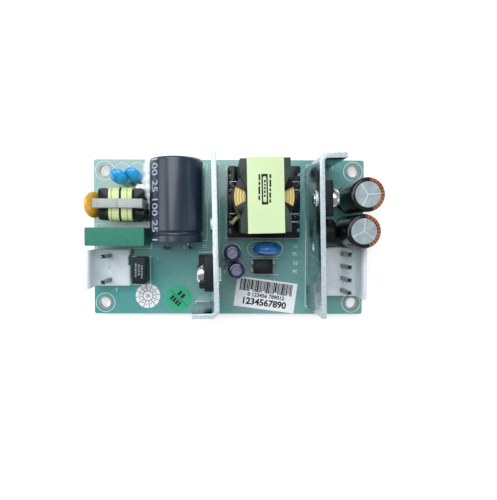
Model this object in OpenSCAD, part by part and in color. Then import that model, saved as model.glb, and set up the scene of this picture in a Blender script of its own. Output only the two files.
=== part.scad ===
// Open frame switching power supply: a bare circuit board with an inlet header,
// line filter, bulk capacitor, switching stage, transformer, rectifier stage and
// outlet header. Origin: centre of the four mounting holes on the underside of
// the board, +Z up, +X along the board from inlet to outlet. Millimetres.

/* [Board] */
// Width of the board
board_w = 51; // [50:0.5:60]
// Thickness of the board
board_t = 1.6; // [1:0.1:2.4]
// Radius of the board's corners
board_corner_r = 0.7; // [0.2:0.1:2]
// Diameter of the mounting holes
mount_hole_d = 3.5; // [2.5:0.1:4]
// Distance from a mounting hole's centre to the short edge
mount_inset_x = 3.6; // [3:0.1:4.5]
// Distance from a mounting hole's centre to the long edge
mount_inset_y = 3.7; // [3:0.1:4.5]

/* [Soldering] */
// Gap between a lead and the wall of its hole
hole_clearance = 0.12; // [0.05:0.01:0.3]
// How far round leads stand out under the board
lead_stub = 1.9; // [1.2:0.1:2.3]
// How far header pins and heatsink tabs stand out under the board
pin_stub = 2.4; // [2.4:0.1:4]
// Height of a solder cone
solder_h = 1.05; // [0.5:0.05:1.1]
// Width of a solder cone around its lead
solder_spread = 0.7; // [0.3:0.05:0.8]

/* [Layout] */
// Board edge to the inlet header and the film capacitor
left_margin = 0.6; // [0.3:0.1:3]
// Board edge to the outlet header
right_margin = 2.3; // [0.5:0.1:5]
// Film capacitor to bulk capacitor
bulk_gap = 1.25; // [0.8:0.05:4]
// Bulk capacitor to the plate of the primary heatsink
heatsink_gap = 3.35; // [2.8:0.05:6]
// Heatsink plates to the transformer's base
transformer_gap = 2.95; // [2:0.05:6]
// Secondary heatsink plate to the outlet header
outlet_gap = 3.15; // [2.5:0.05:6]
// Lower long edge to the inlet header
inlet_margin = 9.65; // [8:0.05:10.5]
// Lower long edge to the outlet header
outlet_margin = 6.55; // [6:0.05:8]
// Inlet header to the film capacitor
film_gap = 1.4; // [0.5:0.1:2.5]
// Film capacitor to the filter choke
choke_gap = 2; // [1:0.1:3]
// Filter choke to the line of the two disc capacitors
disc_gap = 3.5; // [3.3:0.1:4.5]
// Inlet header to the fuse
fuse_gap = 1.6; // [1:0.1:2.5]
// Upper long edge to the bulk capacitor's top end
bulk_margin = 1.5; // [0:0.1:3]
// Upper long edge to the transformer's base
transformer_margin = 2.65; // [1.5:0.05:3]
// Lower long edge to the ends of the heatsinks
heatsink_margin_low = 2.5; // [1:0.1:4]
// Upper long edge to the ends of the heatsinks
heatsink_margin_high = 1.35; // [1:0.05:4]
// Angle by which the heatsinks stand turned in their slots
heatsink_turn = 1.4; // [0:0.1:2]

/* [Headers] */
// Distance between pin positions
header_pitch = 3.96; // [3.5:0.01:4.2]
// Pin positions of the outlet header
outlet_ways = 4; // [3:1:4]
// Width of the square pins
header_pin_w = 1.14; // [0.8:0.01:1.3]
// Height of the pin tips above the board
header_pin_h = 12; // [9:0.1:14]
// Length of housing past the last pin's centre
header_end = 1.95; // [1.6:0.05:2.2]
// Depth of the housing, from locking wall to inner edge
header_depth = 11.9; // [10:0.1:12.5]
// Thickness of the housing's floor
header_floor_h = 3.2; // [2:0.1:4]
// Height of the locking wall
header_wall_h = 11.4; // [8:0.1:13]
// Thickness of the locking wall
header_wall_t = 1.1; // [0.8:0.05:1.6]
// Outer face of the locking wall to the pin row
header_pin_inset = 5.25; // [4:0.05:6]

/* [Fuse] */
// Length of the fuse body
fuse_l = 8.4; // [7:0.1:9]
// Width of the fuse body
fuse_w = 4.1; // [3.5:0.1:4.6]
// Height of the fuse body
fuse_h = 7.7; // [5:0.1:9]
// Distance between the fuse leads
fuse_pitch = 5.08; // [4:0.01:6]
// Diameter of the fuse leads
fuse_lead_d = 0.6; // [0.4:0.05:0.8]

/* [Line filter] */
// Length of the film capacitor
film_l = 18; // [17.5:0.1:22]
// Width of the film capacitor
film_w = 5.6; // [5:0.1:6.5]
// Height of the film capacitor
film_h = 12; // [9:0.1:15]
// Distance between the film capacitor's leads
film_pitch = 15; // [12.5:0.1:15.5]
// Diameter of the film capacitor's leads
film_lead_d = 0.8; // [0.5:0.05:1]
// Length of the filter choke's core
choke_core_l = 14.75; // [14:0.05:15.5]
// Height of the filter choke's core
choke_core_h = 9.8; // [9.6:0.05:11]
// Width of each limb of the filter choke's core
choke_limb = 2.7; // [2.2:0.05:2.8]
// Size across the two windings
choke_winding_w = 10.4; // [9:0.1:10.5]
// Length of each winding
choke_winding_l = 3.2; // [2.8:0.05:3.25]
// Diameter of the varistor's disc
varistor_d = 8.5; // [7:0.1:9.5]
// Thickness of the varistor's disc
varistor_t = 3; // [2.4:0.1:3.1]
// Diameter of the left disc capacitor
left_disc_d = 6.4; // [5.8:0.1:6.6]
// Diameter of the right disc capacitor
right_disc_d = 5.8; // [5.4:0.1:6]
// Thickness of the two disc capacitors
disc_t = 2.9; // [2.4:0.1:3]
// Distance between the leads of a disc
disc_pitch = 5; // [4.6:0.1:5]
// Diameter of the leads of a disc
disc_lead_d = 0.6; // [0.4:0.05:0.7]
// Angle of the two disc capacitors to the board's long edge
disc_turn = -22; // [-25:1:-18]

/* [Electrolytic capacitors] */
// Thickness of a printed sleeve
sleeve_t = 0.2; // [0.1:0.05:0.3]
// Diameter of the bulk capacitor's can
bulk_d = 15.95; // [14:0.05:18]
// Length of the bulk capacitor's can
bulk_l = 25.1; // [22:0.1:26]
// Distance between the bulk capacitor's leads
bulk_pitch = 7.5; // [6:0.1:8]
// Diameter of the bulk capacitor's leads
bulk_lead_d = 0.8; // [0.6:0.05:1]
// Diameter of the output capacitors' cans
output_can_d = 9.8; // [8:0.1:10]
// Length of the output capacitors' cans
output_can_l = 17.1; // [12:0.1:20]
// Distance between the leads of an output capacitor
output_pitch = 5; // [4:0.1:5.2]
// Diameter of the small capacitors' cans
small_can_d = 4.85; // [4:0.05:5]
// Length of the small capacitors' cans
small_can_l = 11.3; // [8:0.1:13]
// Distance between the leads of a small capacitor
small_pitch = 2; // [1.8:0.1:2.5]
// Diameter of the output and small capacitors' leads
can_lead_d = 0.6; // [0.45:0.05:0.7]

/* [Heatsinks] */
// Thickness of the sheet
sheet_t = 1.5; // [1:0.05:2]
// Height of a heatsink above the board
heatsink_h = 20.5; // [19.5:0.1:26]
// Length of the folded flange, over the plate
flange_l = 8; // [5:0.1:9]
// Inner radius of the fold
fold_r = 0.9; // [0.4:0.1:1.5]
// Width of a solder tab
tab_w = 3; // [2:0.1:4]
// Distance from each end of the plate to its solder tab
tab_inset = 5.5; // [4.5:0.1:7]
// Flange to the screw hole in use
screw_from_flange = 12.6; // [12:0.1:13]
// Flange to the spare screw hole
spare_from_flange = 27.1; // [24:0.1:30]
// Height of the screw hole in use
screw_z = 15.9; // [15.5:0.1:16.4]
// Height of the spare screw hole
spare_z = 10.7; // [8:0.1:14]
// Diameter of the screws and of their tapped holes
screw_d = 3; // [2.5:0.1:3.1]
// Diameter of the collars drawn around the tapped holes
collar_d = 4.8; // [4:0.1:5.6]
// Height of the collars
collar_h = 0.7; // [0.4:0.1:1.2]

/* [Power semiconductors] */
// Width of the moulded body
package_w = 10; // [9:0.1:10.4]
// Height of the moulded body
package_h = 15.9; // [15:0.1:16.5]
// Thickness of the body around the chip
package_t = 4.6; // [4:0.1:4.8]
// Thickness of the body around the screw
package_tab_t = 2.7; // [2:0.1:3]
// Height of the thick part of the body
package_chip_h = 9; // [8:0.1:9.5]
// Distance between the three legs
leg_pitch = 2.54; // [2:0.01:2.7]
// Back of the body to the legs
leg_depth = 2.6; // [2:0.1:3]
// Diameter of the screw heads
screw_head_d = 5.4; // [4.5:0.1:6]
// Height of the screw heads
screw_head_h = 2.3; // [1.5:0.1:2.8]

/* [Transformer] */
// Length of the core
core_l = 20.5; // [20:0.1:22]
// Width of the core
core_w = 14; // [13:0.1:14.4]
// Height of the two core halves together
core_h = 20.2; // [18:0.1:24]
// Diameter of the round middle post
post_d = 8.8; // [8:0.1:9.4]
// Diameter of the winding window
window_d = 18; // [17.4:0.1:18.4]
// Height of the winding window
window_h = 14.3; // [12:0.1:15]
// Width of the core's waist
core_waist = 9.6; // [9:0.1:11]
// Angle by which the core sits turned on its bobbin
core_turn = 1.5; // [0:0.1:2]
// Width of the tape around the core
core_tape_w = 10.2; // [8:0.1:11]
// Thickness of the tape around the core
core_tape_t = 0.25; // [0.1:0.05:0.3]
// Length of the bobbin's base along the board
base_l = 23.2; // [23:0.1:26]
// Width of the bobbin's base
base_w = 22.95; // [22:0.05:24]
// Height of the bobbin's floor above the board
base_h = 3.1; // [2.4:0.1:4]
// Base centre to core axis, along the board
core_shift_x = -1.35; // [-1.6:0.05:-0.8]
// Base centre to core axis, across the board
core_shift_y = 0.5; // [0:0.05:0.8]
// Wall of the bobbin's tube and flanges
bobbin_wall = 0.75; // [0.5:0.05:1]
// Distance between the transformer's pins
winding_pin_pitch = 2.54; // [2:0.01:2.6]
// Diameter of the transformer's pins
winding_pin_d = 0.8; // [0.5:0.05:0.9]
// Diameter of the winding's lead-out wires
lead_out_d = 0.5; // [0.3:0.05:0.7]

/* [Small parts] */
// Diameter of the bridging disc capacitor
bridge_disc_d = 9.4; // [8:0.1:9.8]
// Thickness of the bridging disc capacitor
bridge_disc_t = 4.3; // [3.4:0.1:4.6]
// Distance between the bridging disc capacitor's leads
bridge_pitch = 7.5; // [6:0.1:7.6]
// Diameter of the sleeved output choke
ring_choke_d = 8.6; // [7.5:0.1:8.8]
// Width of the sleeved output choke
ring_choke_w = 6.2; // [5:0.1:6.3]
// Length of the optocoupler's body
opto_l = 6.2; // [5.6:0.1:6.6]
// Width of the optocoupler's body
opto_w = 4.6; // [4.2:0.1:4.8]
// Height of the optocoupler's body
opto_h = 3.4; // [2.6:0.1:4]
// Distance between the optocoupler's two rows of legs
opto_row = 7.62; // [7.2:0.01:8]
// Length of the paper label
label_l = 20.2; // [16:0.1:21]
// Width of the paper label
label_w = 10; // [8:0.1:10.2]
// Angle of the paper label
label_turn = -7.6; // [-9:0.1:0]
// Diameter of the white round sticker
date_sticker_d = 8.15; // [7:0.05:8.4]
// Diameter of the green round sticker
check_sticker_d = 8.5; // [7:0.05:8.6]
// Thickness of the label and the stickers
paper_t = 0.12; // [0.08:0.01:0.2]

/* [Hidden] */

$fn = 48;

// Pin positions of the inlet header, whose middle pin is left out
inlet_ways = 3;
eps = 0.01;

// Seating gap between a core and the bobbin that it slides into
core_fit = 0.1;
// Height of parts whose underside clears the board on feet or leads
stand_off = 0.5;

// --- Places along the board, built up from the left edge ---------------------
bulk_r = bulk_d / 2 + sleeve_t;
board_l = left_margin + film_l + bulk_gap + 2 * bulk_r + heatsink_gap + sheet_t
    + transformer_gap + base_l + transformer_gap + sheet_t + outlet_gap
    + header_depth + right_margin;
left_edge = -board_l / 2;
right_edge = board_l / 2;
low_edge = -board_w / 2;
high_edge = board_w / 2;
mount_x = board_l / 2 - mount_inset_x;
mount_y = board_w / 2 - mount_inset_y;

inlet_x = left_edge + left_margin;
inlet_l = (inlet_ways - 1) * header_pitch + 2 * header_end;
inlet_y = low_edge + inlet_margin + inlet_l / 2;
outlet_x = right_edge - right_margin;
outlet_l = (outlet_ways - 1) * header_pitch + 2 * header_end;
outlet_y = low_edge + outlet_margin + outlet_l / 2;

fuse_x = inlet_x + header_depth + fuse_gap + fuse_w / 2;
fuse_y = inlet_y - 0.6;

film_x = left_edge + left_margin + film_l / 2;
film_y = inlet_y + inlet_l / 2 + film_gap + film_w / 2;
film_end = film_x + film_l / 2;

choke_x = film_end - choke_core_l / 2 - 0.1;
choke_y = film_y + film_w / 2 + choke_gap + choke_winding_w / 2;
varistor_x = choke_x - choke_core_l / 2 - varistor_t / 2 - 0.15;

left_disc_x = choke_x - 0.7;
left_disc_y = choke_y + choke_winding_w / 2 + disc_gap - 0.4;
right_disc_x = left_disc_x + 4.9;
right_disc_y = left_disc_y + 0.8;

bulk_x = film_end + bulk_gap + bulk_r;
bulk_y_high = high_edge - bulk_margin;
bulk_y_low = bulk_y_high - bulk_l - 2 * sleeve_t;

primary_x = bulk_x + bulk_r + heatsink_gap + sheet_t / 2;
heatsink_l = board_w - heatsink_margin_low - heatsink_margin_high;
heatsink_y = low_edge + heatsink_margin_low + heatsink_l / 2;
base_x = primary_x + sheet_t / 2 + transformer_gap + base_l / 2;
base_y = high_edge - transformer_margin - base_w / 2;
secondary_x = base_x + base_l / 2 + transformer_gap + sheet_t / 2;

output_r = output_can_d / 2 + sleeve_t;
output_low = [right_edge - output_r - 0.3, outlet_y + outlet_l / 2 + output_r + 0.12];
output_high = [output_low[0] + 1, output_low[1] + 2 * output_r + 0.55];

ring_choke_x = secondary_x + sheet_t / 2 + 0.4 + ring_choke_w / 2;
ring_choke_y = outlet_y + outlet_l / 2 + 0.6 + ring_choke_d / 2;

bridge_disc_x = base_x + 0.9;
bridge_disc_y = base_y - base_w / 2 - 1.3 - bridge_disc_t / 2;
opto_y = bridge_disc_y - bridge_disc_t / 2 - 1.45 - opto_w / 2;

small_r = small_can_d / 2 + sleeve_t;
small_upper = [base_x - base_l / 2 + 1.45, base_y - base_w / 2 - 2.15 - small_r];
small_lower = [small_upper[0] + 1.25, small_upper[1] - 2 * small_r];

label_x = base_x + 1.2;
label_margin = 1.4;
label_y = low_edge + label_margin + label_w / 2;

// --- Shared shapes -----------------------------------------------------------

// Rectangle with rounded corners, centred
module rounded_rectangle(w, h, r) {
    square([w - 2 * r, h], center = true);
    square([w, h - 2 * r], center = true);
    for (x = [-1, 1], y = [-1, 1])
        translate([x * (w / 2 - r), y * (h / 2 - r)]) circle(r);
}

// Upright block with rounded vertical edges, standing on z = 0
module rounded_block(w, d, h, r) {
    linear_extrude(h) rounded_rectangle(w, d, r);
}

// Round wire that rises along Z from -drop, bends at height 0 and runs out to x = run
module bent_wire(drop, run, d, r) {
    translate([0, 0, -drop]) cylinder(d = d, h = drop - r, $fn = 24);
    translate([r, 0, -r]) rotate([90, 0, 0]) rotate([0, 0, 90])
        rotate_extrude(angle = 90) translate([r, 0]) circle(d = d, $fn = 24);
    translate([r, 0, 0]) rotate([0, 90, 0]) cylinder(d = d, h = run - r, $fn = 24);
}

// Points of an arc about [cx, cy]
function arc(cx, cy, r, from, to, steps) =
    [for (i = [0 : steps]) let (a = from + (to - from) * i / steps)
        [cx + r * cos(a), cy + r * sin(a)]];

// Half outline of a dipped disc, whose faces bulge and whose rim is round
function disc_outline(d, t, bulge = 0.8) =
    [for (a = [-90 : 15 : 90])
        [d / 2 * pow(abs(cos(a)), bulge), sign(a) * t / 2 * pow(abs(sin(a)), bulge)]];

// Dipped disc that stands on its rim, its face towards Y, centred at its own middle
module dipped_disc(d, t) {
    rotate([90, 0, 0]) rotate_extrude($fn = 48) polygon(disc_outline(d, t));
}

// Cross-section of the current lead, grown by a gap
module lead_section(grow = 0) {
    if ($lead_size[1] == 0) circle(d = $lead_size[0] + 2 * grow, $fn = 24);
    else square([$lead_size[0] + 2 * grow, $lead_size[1] + 2 * grow], center = true);
}

// The current lead, from its cut end under the board up to a height above it
module lead(top, stub = lead_stub) {
    translate([0, 0, -stub]) linear_extrude(stub + board_t + top) lead_section();
}

// Solder fillet hanging under the board around the current lead
module solder_joint() {
    r = max($lead_size) / 2 * ($lead_size[1] == 0 ? 1 : 1.15);
    difference() {
        rotate_extrude($fn = 24)
            polygon(concat([[0, 0]],
                [for (a = [0 : 30 : 90])
                    [r + solder_spread * (1 - sin(a)), -solder_h * (1 - cos(a))]],
                [[0, -solder_h]]));
        translate([0, 0, -solder_h - eps]) linear_extrude(solder_h + 2 * eps) lead_section();
    }
}

// --- Where every lead passes through the board -------------------------------

// Two children, each half a pitch from the middle along X
module pair(pitch) {
    for (side = [-1, 1]) translate([side * pitch / 2, 0, 0]) children();
}

module at_inlet_pins() {
    for (i = [0 : 2 : inlet_ways - 1])
        translate([inlet_x + header_pin_inset, inlet_y + (i - (inlet_ways - 1) / 2) * header_pitch, 0])
            children();
}

module at_outlet_pins() {
    for (i = [0 : outlet_ways - 1])
        translate([outlet_x - header_pin_inset, outlet_y + (i - (outlet_ways - 1) / 2) * header_pitch, 0])
            children();
}

module at_fuse_leads() {
    translate([fuse_x, fuse_y, 0]) rotate([0, 0, 90]) pair(fuse_pitch) children();
}

module at_film_leads() {
    translate([film_x, film_y, 0]) pair(film_pitch) children();
}

module at_varistor() {
    translate([varistor_x, choke_y, 0]) rotate([0, 0, 90]) children();
}

module at_left_disc() {
    translate([left_disc_x, left_disc_y, 0]) rotate([0, 0, disc_turn]) children();
}

module at_right_disc() {
    translate([right_disc_x, right_disc_y, 0]) rotate([0, 0, disc_turn]) children();
}

module at_bridge_disc() {
    translate([bridge_disc_x, bridge_disc_y, 0]) children();
}

// Middle of the filter choke on the board, its pins' spread and their row distance
choke_cheek_l = (choke_core_l - 0.55) / 2 - choke_winding_l - 0.35;
choke_pin_x = choke_core_l / 2 - choke_limb / 2 - 0.5;
choke_pin_y = choke_winding_w / 2 - 1.4;

module at_choke_pins() {
    for (y = [-1, 1]) translate([choke_x, choke_y + y * choke_pin_y, 0]) pair(2 * choke_pin_x) children();
}

// How far the bulk capacitor's leads run out of its lower end before they drop
bulk_lead_run = 2.1;

module at_bulk_leads() {
    translate([bulk_x, bulk_y_low - bulk_lead_run, 0]) pair(bulk_pitch) children();
}

// Frame of each heatsink: plate along Y, devices on its -X face, flange at its -Y end
module on_primary() {
    translate([primary_x, heatsink_y, 0]) rotate([0, 0, heatsink_turn]) children();
}

module on_secondary() {
    translate([secondary_x, heatsink_y, 0]) rotate([0, 0, 180 + heatsink_turn]) children();
}

module at_heatsink_tabs() {
    for (y = [-1, 1]) translate([0, y * (heatsink_l / 2 - tab_inset), 0]) children();
}

device_y = -heatsink_l / 2 + screw_from_flange;
spare_y = -heatsink_l / 2 + spare_from_flange;

module at_package_legs() {
    for (i = [-1 : 1])
        translate([-sheet_t / 2 - leg_depth, device_y + i * leg_pitch, 0]) children();
}

// The transformer's two rails of pins, each with a gap in its middle
pin_rows = [-3.5, -2.5, -1.5, 1.5, 2.5, 3.5];
rail_pin_inset = 1.1;

module at_winding_pins() {
    for (row = pin_rows)
        translate([base_x, base_y + row * winding_pin_pitch, 0])
            pair(base_l - 2 * rail_pin_inset) children();
}

module at_output_capacitors() {
    for (place = [output_low, output_high]) translate([place[0], place[1], 0]) children();
}

module at_small_capacitors() {
    for (place = [small_upper, small_lower]) translate([place[0], place[1], 0]) children();
}

module at_ring_choke() {
    translate([ring_choke_x, ring_choke_y, 0]) children();
}

ring_choke_pitch = 4;

module at_opto_legs() {
    for (y = [-1, 1]) translate([base_x, opto_y + y * 1.27, 0]) pair(opto_row) children();
}

header_pin_size = [header_pin_w, header_pin_w];
tab_size = [sheet_t, tab_w];
leg_size = [0.5, 0.8];
opto_leg_size = [0.25, 0.5];
choke_pin_d = 0.7;
ring_lead_d = 0.8;

// Every lead in turn, with its cross-section in $lead_size
module for_each_lead() {
    let ($lead_size = header_pin_size) { at_inlet_pins() children(); at_outlet_pins() children(); }
    let ($lead_size = [fuse_lead_d, 0]) at_fuse_leads() children();
    let ($lead_size = [film_lead_d, 0]) at_film_leads() children();
    let ($lead_size = [disc_lead_d, 0]) {
        at_varistor() pair(disc_pitch) children();
        at_left_disc() pair(disc_pitch) children();
        at_right_disc() pair(disc_pitch) children();
        at_bridge_disc() pair(bridge_pitch) children();
    }
    let ($lead_size = [choke_pin_d, 0]) at_choke_pins() children();
    let ($lead_size = [bulk_lead_d, 0]) at_bulk_leads() children();
    let ($lead_size = tab_size) {
        on_primary() at_heatsink_tabs() children();
        on_secondary() at_heatsink_tabs() children();
    }
    let ($lead_size = leg_size) {
        on_primary() at_package_legs() children();
        on_secondary() at_package_legs() children();
    }
    let ($lead_size = [winding_pin_d, 0]) at_winding_pins() children();
    let ($lead_size = [can_lead_d, 0]) {
        at_output_capacitors() pair(output_pitch) children();
        at_small_capacitors() pair(small_pitch) children();
    }
    let ($lead_size = [ring_lead_d, 0]) at_ring_choke() pair(ring_choke_pitch) children();
    let ($lead_size = opto_leg_size) at_opto_legs() children();
}

// --- Board -------------------------------------------------------------------

module circuit_board() {
    color("seagreen")
        linear_extrude(board_t) difference() {
            rounded_rectangle(board_l, board_w, board_corner_r);
            for (x = [-1, 1], y = [-1, 1])
                translate([x * mount_x, y * mount_y]) circle(d = mount_hole_d);
            for_each_lead() lead_section(hole_clearance);
        }
}

module solder_joints() {
    color("silver") for_each_lead() solder_joint();
}

// --- Headers -----------------------------------------------------------------

latch_d = 0.35;
key_notch_w = 3.2;
key_notch_d = 0.6;

// Floor and locking wall of a header, outer face at x = 0 and inner edge at +x
module header_housing(ways) {
    l = (ways - 1) * header_pitch + 2 * header_end;
    translate([0, l / 2, board_t]) rotate([90, 0, 0]) linear_extrude(l)
        polygon([
            [0, 0], [header_depth, 0], [header_depth, header_floor_h - 0.3],
            [header_depth - 0.3, header_floor_h], [header_wall_t + 0.4, header_floor_h],
            [header_wall_t, header_floor_h + 0.4], [header_wall_t, header_wall_h - 2.4],
            [header_wall_t + latch_d, header_wall_h - 1.6], [header_wall_t, header_wall_h - 0.4],
            [header_wall_t - 0.3, header_wall_h], [0.3, header_wall_h], [0, header_wall_h - 0.3]
        ]);
}

// Key notch in the inner edge and pockets under the floor
module header_cuts(ways) {
    l = (ways - 1) * header_pitch + 2 * header_end;
    translate([header_depth - key_notch_d, l / 2 - 2 - key_notch_w, board_t - eps])
        cube([key_notch_d + 1, key_notch_w, header_floor_h + 1]);
    for (i = [0 : ways - 2])
        translate([header_pin_inset + 1.6, (i - (ways - 2) / 2) * header_pitch - 0.9, board_t - eps])
            cube([3, 1.8, header_floor_h - 1.2]);
}

module header_pin_hole() {
    translate([0, 0, board_t - eps]) linear_extrude(header_floor_h + 1)
        square(header_pin_w, center = true);
}

// Pin seen from one side, with both tips narrowed
module header_pin_side() {
    half = header_pin_w / 2;
    taper = 0.35;
    rotate([90, 0, 0]) linear_extrude(2 * header_pin_w, center = true)
        polygon([
            [-half + taper, -pin_stub], [half - taper, -pin_stub], [half, -pin_stub + 0.8],
            [half, board_t + header_pin_h - 0.8], [half - taper, board_t + header_pin_h],
            [-half + taper, board_t + header_pin_h], [-half, board_t + header_pin_h - 0.8],
            [-half, -pin_stub + 0.8]
        ]);
}

module header_pin() {
    intersection() {
        header_pin_side();
        rotate([0, 0, 90]) header_pin_side();
    }
}

module inlet_housing() {
    color("ivory") difference() {
        translate([inlet_x, inlet_y, 0]) difference() {
            header_housing(inlet_ways);
            header_cuts(inlet_ways);
            translate([header_pin_inset, 0, board_t + header_floor_h - 0.6]) cylinder(d = 0.6, h = 1);
        }
        at_inlet_pins() header_pin_hole();
    }
}

module inlet_pins() {
    color("silver") at_inlet_pins() header_pin();
}

module outlet_housing() {
    color("ivory") difference() {
        translate([outlet_x, outlet_y, 0]) rotate([0, 0, 180]) difference() {
            header_housing(outlet_ways);
            header_cuts(outlet_ways);
        }
        at_outlet_pins() header_pin_hole();
    }
}

module outlet_pins() {
    color("silver") at_outlet_pins() header_pin();
}

// --- Fuse --------------------------------------------------------------------

module fuse_body() {
    color("#1c1c20") difference() {
        translate([fuse_x, fuse_y, board_t + stand_off]) {
            rounded_block(fuse_w, fuse_l, fuse_h - stand_off, 0.4);
            for (y = [-1, 1]) translate([-fuse_w / 2 + 0.4, y * (fuse_l / 2 - 0.9) - 0.4, -stand_off])
                cube([fuse_w - 0.8, 0.8, stand_off + eps]);
        }
        let ($lead_size = [fuse_lead_d, 0]) at_fuse_leads() lead(2);
    }
}

module fuse_leads() {
    color("silver") let ($lead_size = [fuse_lead_d, 0]) at_fuse_leads() lead(2);
}

// --- Line filter -------------------------------------------------------------

// Height of a dipped disc's middle, over legs of bare wire
function disc_z(d) = 2.4 + d / 2;

// Middle of a disc to the ends of the leads inside it
disc_lead_end = 1.7;
varistor_z = 1.9 + varistor_d / 2;

module varistor_leads() {
    color("silver") let ($lead_size = [disc_lead_d, 0])
        at_varistor() pair(disc_pitch) lead(varistor_z - disc_lead_end);
}

module varistor_disc() {
    color("goldenrod") difference() {
        at_varistor() translate([0, 0, board_t + varistor_z]) dipped_disc(varistor_d, varistor_t);
        varistor_leads();
    }
}

module film_capacitor_case() {
    color("#3f9a78") difference() {
        translate([film_x, film_y, board_t]) {
            translate([0, 0, stand_off]) rounded_block(film_l, film_w, film_h - stand_off, 0.5);
            for (x = [-1, 1]) translate([x * (film_l / 2 - 1), 0, 0])
                rounded_block(1.2, film_w - 0.6, stand_off + eps, 0.3);
        }
        let ($lead_size = [film_lead_d, 0]) at_film_leads() lead(2.5);
    }
}

module film_capacitor_leads() {
    color("silver") let ($lead_size = [film_lead_d, 0]) at_film_leads() lead(2.5);
}

// Height of the lower limb's middle, which the windings surround
choke_axis_z = board_t + 0.55 + choke_winding_w / 2;
choke_core_z = choke_axis_z - choke_limb / 2;
choke_tube_w = choke_limb + 2 * core_fit + 1.4;
choke_cheek_h = choke_winding_w - 1;

module choke_place() {
    translate([choke_x, choke_y, 0]) children();
}

// Ring of two U halves that meet in the middle of both long limbs
module filter_choke_core() {
    color("#55585a") choke_place()
        for (side = [0, 1]) mirror([side, 0, 0])
            translate([0, choke_limb / 2, choke_core_z]) rotate([90, 0, 0])
                linear_extrude(choke_limb) difference() {
                    translate([0.01, 0]) square([choke_core_l / 2 - 0.01, choke_core_h]);
                    translate([-1, choke_limb])
                        square([choke_core_l / 2 - choke_limb + 1, choke_core_h - 2 * choke_limb]);
                }
}

// Square of the lower limb's section, drawn along X
module choke_bar(w, x_from, x_to, r) {
    translate([x_from, 0, choke_axis_z]) rotate([90, 0, 90])
        linear_extrude(x_to - x_from) rounded_rectangle(w, w, r);
}

module filter_choke_bobbin() {
    inner = choke_core_l / 2 - choke_limb - core_fit;
    cheek_from = choke_winding_l + 0.35;
    color("#18191b") difference() {
        choke_place() {
            choke_bar(choke_tube_w, -inner, inner, 0.4);
            choke_bar(choke_winding_w, -0.35, 0.35, 2.2);
            for (side = [0, 1]) mirror([side, 0, 0])
                translate([cheek_from, 0, board_t])
                    linear_extrude(choke_cheek_h) difference() {
                        translate([choke_cheek_l / 2, 0])
                            rounded_rectangle(choke_cheek_l, choke_winding_w - 0.6, 1.1);
                        translate([inner - cheek_from, -choke_limb / 2 - core_fit])
                            square([choke_cheek_l, choke_limb + 2 * core_fit]);
                    }
            for (side = [0, 1]) mirror([side, 0, 0])
                translate([inner - eps, -choke_limb / 2 - 1, board_t])
                    cube([choke_core_l / 2 - inner - 0.6, choke_limb + 2, choke_core_z - board_t]);
        }
        choke_place() choke_bar(choke_limb + 2 * core_fit, -inner - 1, inner + 1, 0.05);
        let ($lead_size = [choke_pin_d, 0]) at_choke_pins() lead(3);
    }
}

module filter_choke_windings() {
    color("khaki") choke_place() difference() {
        for (side = [0, 1]) mirror([side, 0, 0])
            choke_bar(choke_winding_w, 0.35, 0.35 + choke_winding_l, 2.2);
        choke_bar(choke_tube_w, -choke_core_l, choke_core_l, 0.4);
    }
}

module filter_choke_pins() {
    color("silver") let ($lead_size = [choke_pin_d, 0]) at_choke_pins() lead(3);
}

module disc_capacitor_leads() {
    color("silver") let ($lead_size = [disc_lead_d, 0]) {
        at_left_disc() pair(disc_pitch) lead(disc_z(left_disc_d) - disc_lead_end);
        at_right_disc() pair(disc_pitch) lead(disc_z(right_disc_d) - disc_lead_end);
    }
}

module left_disc_capacitor() {
    color("dodgerblue") difference() {
        at_left_disc() translate([0, 0, board_t + disc_z(left_disc_d)]) dipped_disc(left_disc_d, disc_t);
        disc_capacitor_leads();
    }
}

module right_disc_capacitor() {
    color("dodgerblue") difference() {
        at_right_disc() translate([0, 0, board_t + disc_z(right_disc_d)]) dipped_disc(right_disc_d, disc_t);
        disc_capacitor_leads();
    }
}

// --- Electrolytic capacitors -------------------------------------------------

bead_z = 2.6;
bead_r = 0.9;
bead_in = 0.45;
can_edge_r = 0.7;
bung_h = 2.2;
can_wall = 0.5;
lip = 0.9;
vent_depth = 0.15;

// Half outline of a can that stands on z = 0, with a rolled bead near its foot;
// grow makes the outline of the sleeve shrunk over it
function can_outline(d, l, grow = 0) =
    let (r = d / 2 + grow, e = can_edge_r + grow,
        half = acos((bead_r - bead_in) / bead_r), bead = bead_r * sin(half))
    concat(
        [[0, -grow]],
        arc(r - 0.3, 0.3 - grow, 0.3, -90, 0, 3),
        [for (p = arc(r + bead_r - bead_in, bead_z, bead_r, 180 + half, 180 - half, 6)) p],
        arc(r - e, l + grow - e, e, 0, 90, 4),
        [[0, l + grow]]
    );

// Aluminium can with a hollow foot for its bung and a three-way vent score on top
module capacitor_can(d, l) {
    difference() {
        rotate_extrude() difference() {
            polygon(can_outline(d, l));
            translate([-eps, -eps]) square([d / 2 - bead_in - can_wall + eps, bung_h + eps]);
        }
        for (turn = [80, 200, 320]) rotate([0, 0, turn])
            translate([0, -0.15, l - vent_depth]) cube([d / 2 - 1.5, 0.3, 1]);
    }
}

// Shrunk sleeve, whose ends fold over both edges of the can
module capacitor_sleeve(d, l) {
    rotate_extrude() difference() {
        polygon(can_outline(d, l, sleeve_t));
        polygon(can_outline(d, l));
        translate([0, -1]) square([d / 2 - lip, l + 2]);
    }
}

// Rubber bung, bored for the leads
module capacitor_bung(d, pitch, lead_d) {
    difference() {
        cylinder(d = d - 2 * bead_in - 2 * can_wall, h = bung_h);
        pair(pitch) translate([0, 0, -1]) cylinder(d = lead_d, h = bung_h + 2, $fn = 24);
    }
}

// The lying bulk capacitor's frame: z along the can, from its lead end upwards
bulk_z = board_t + bulk_r + 0.15;

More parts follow.
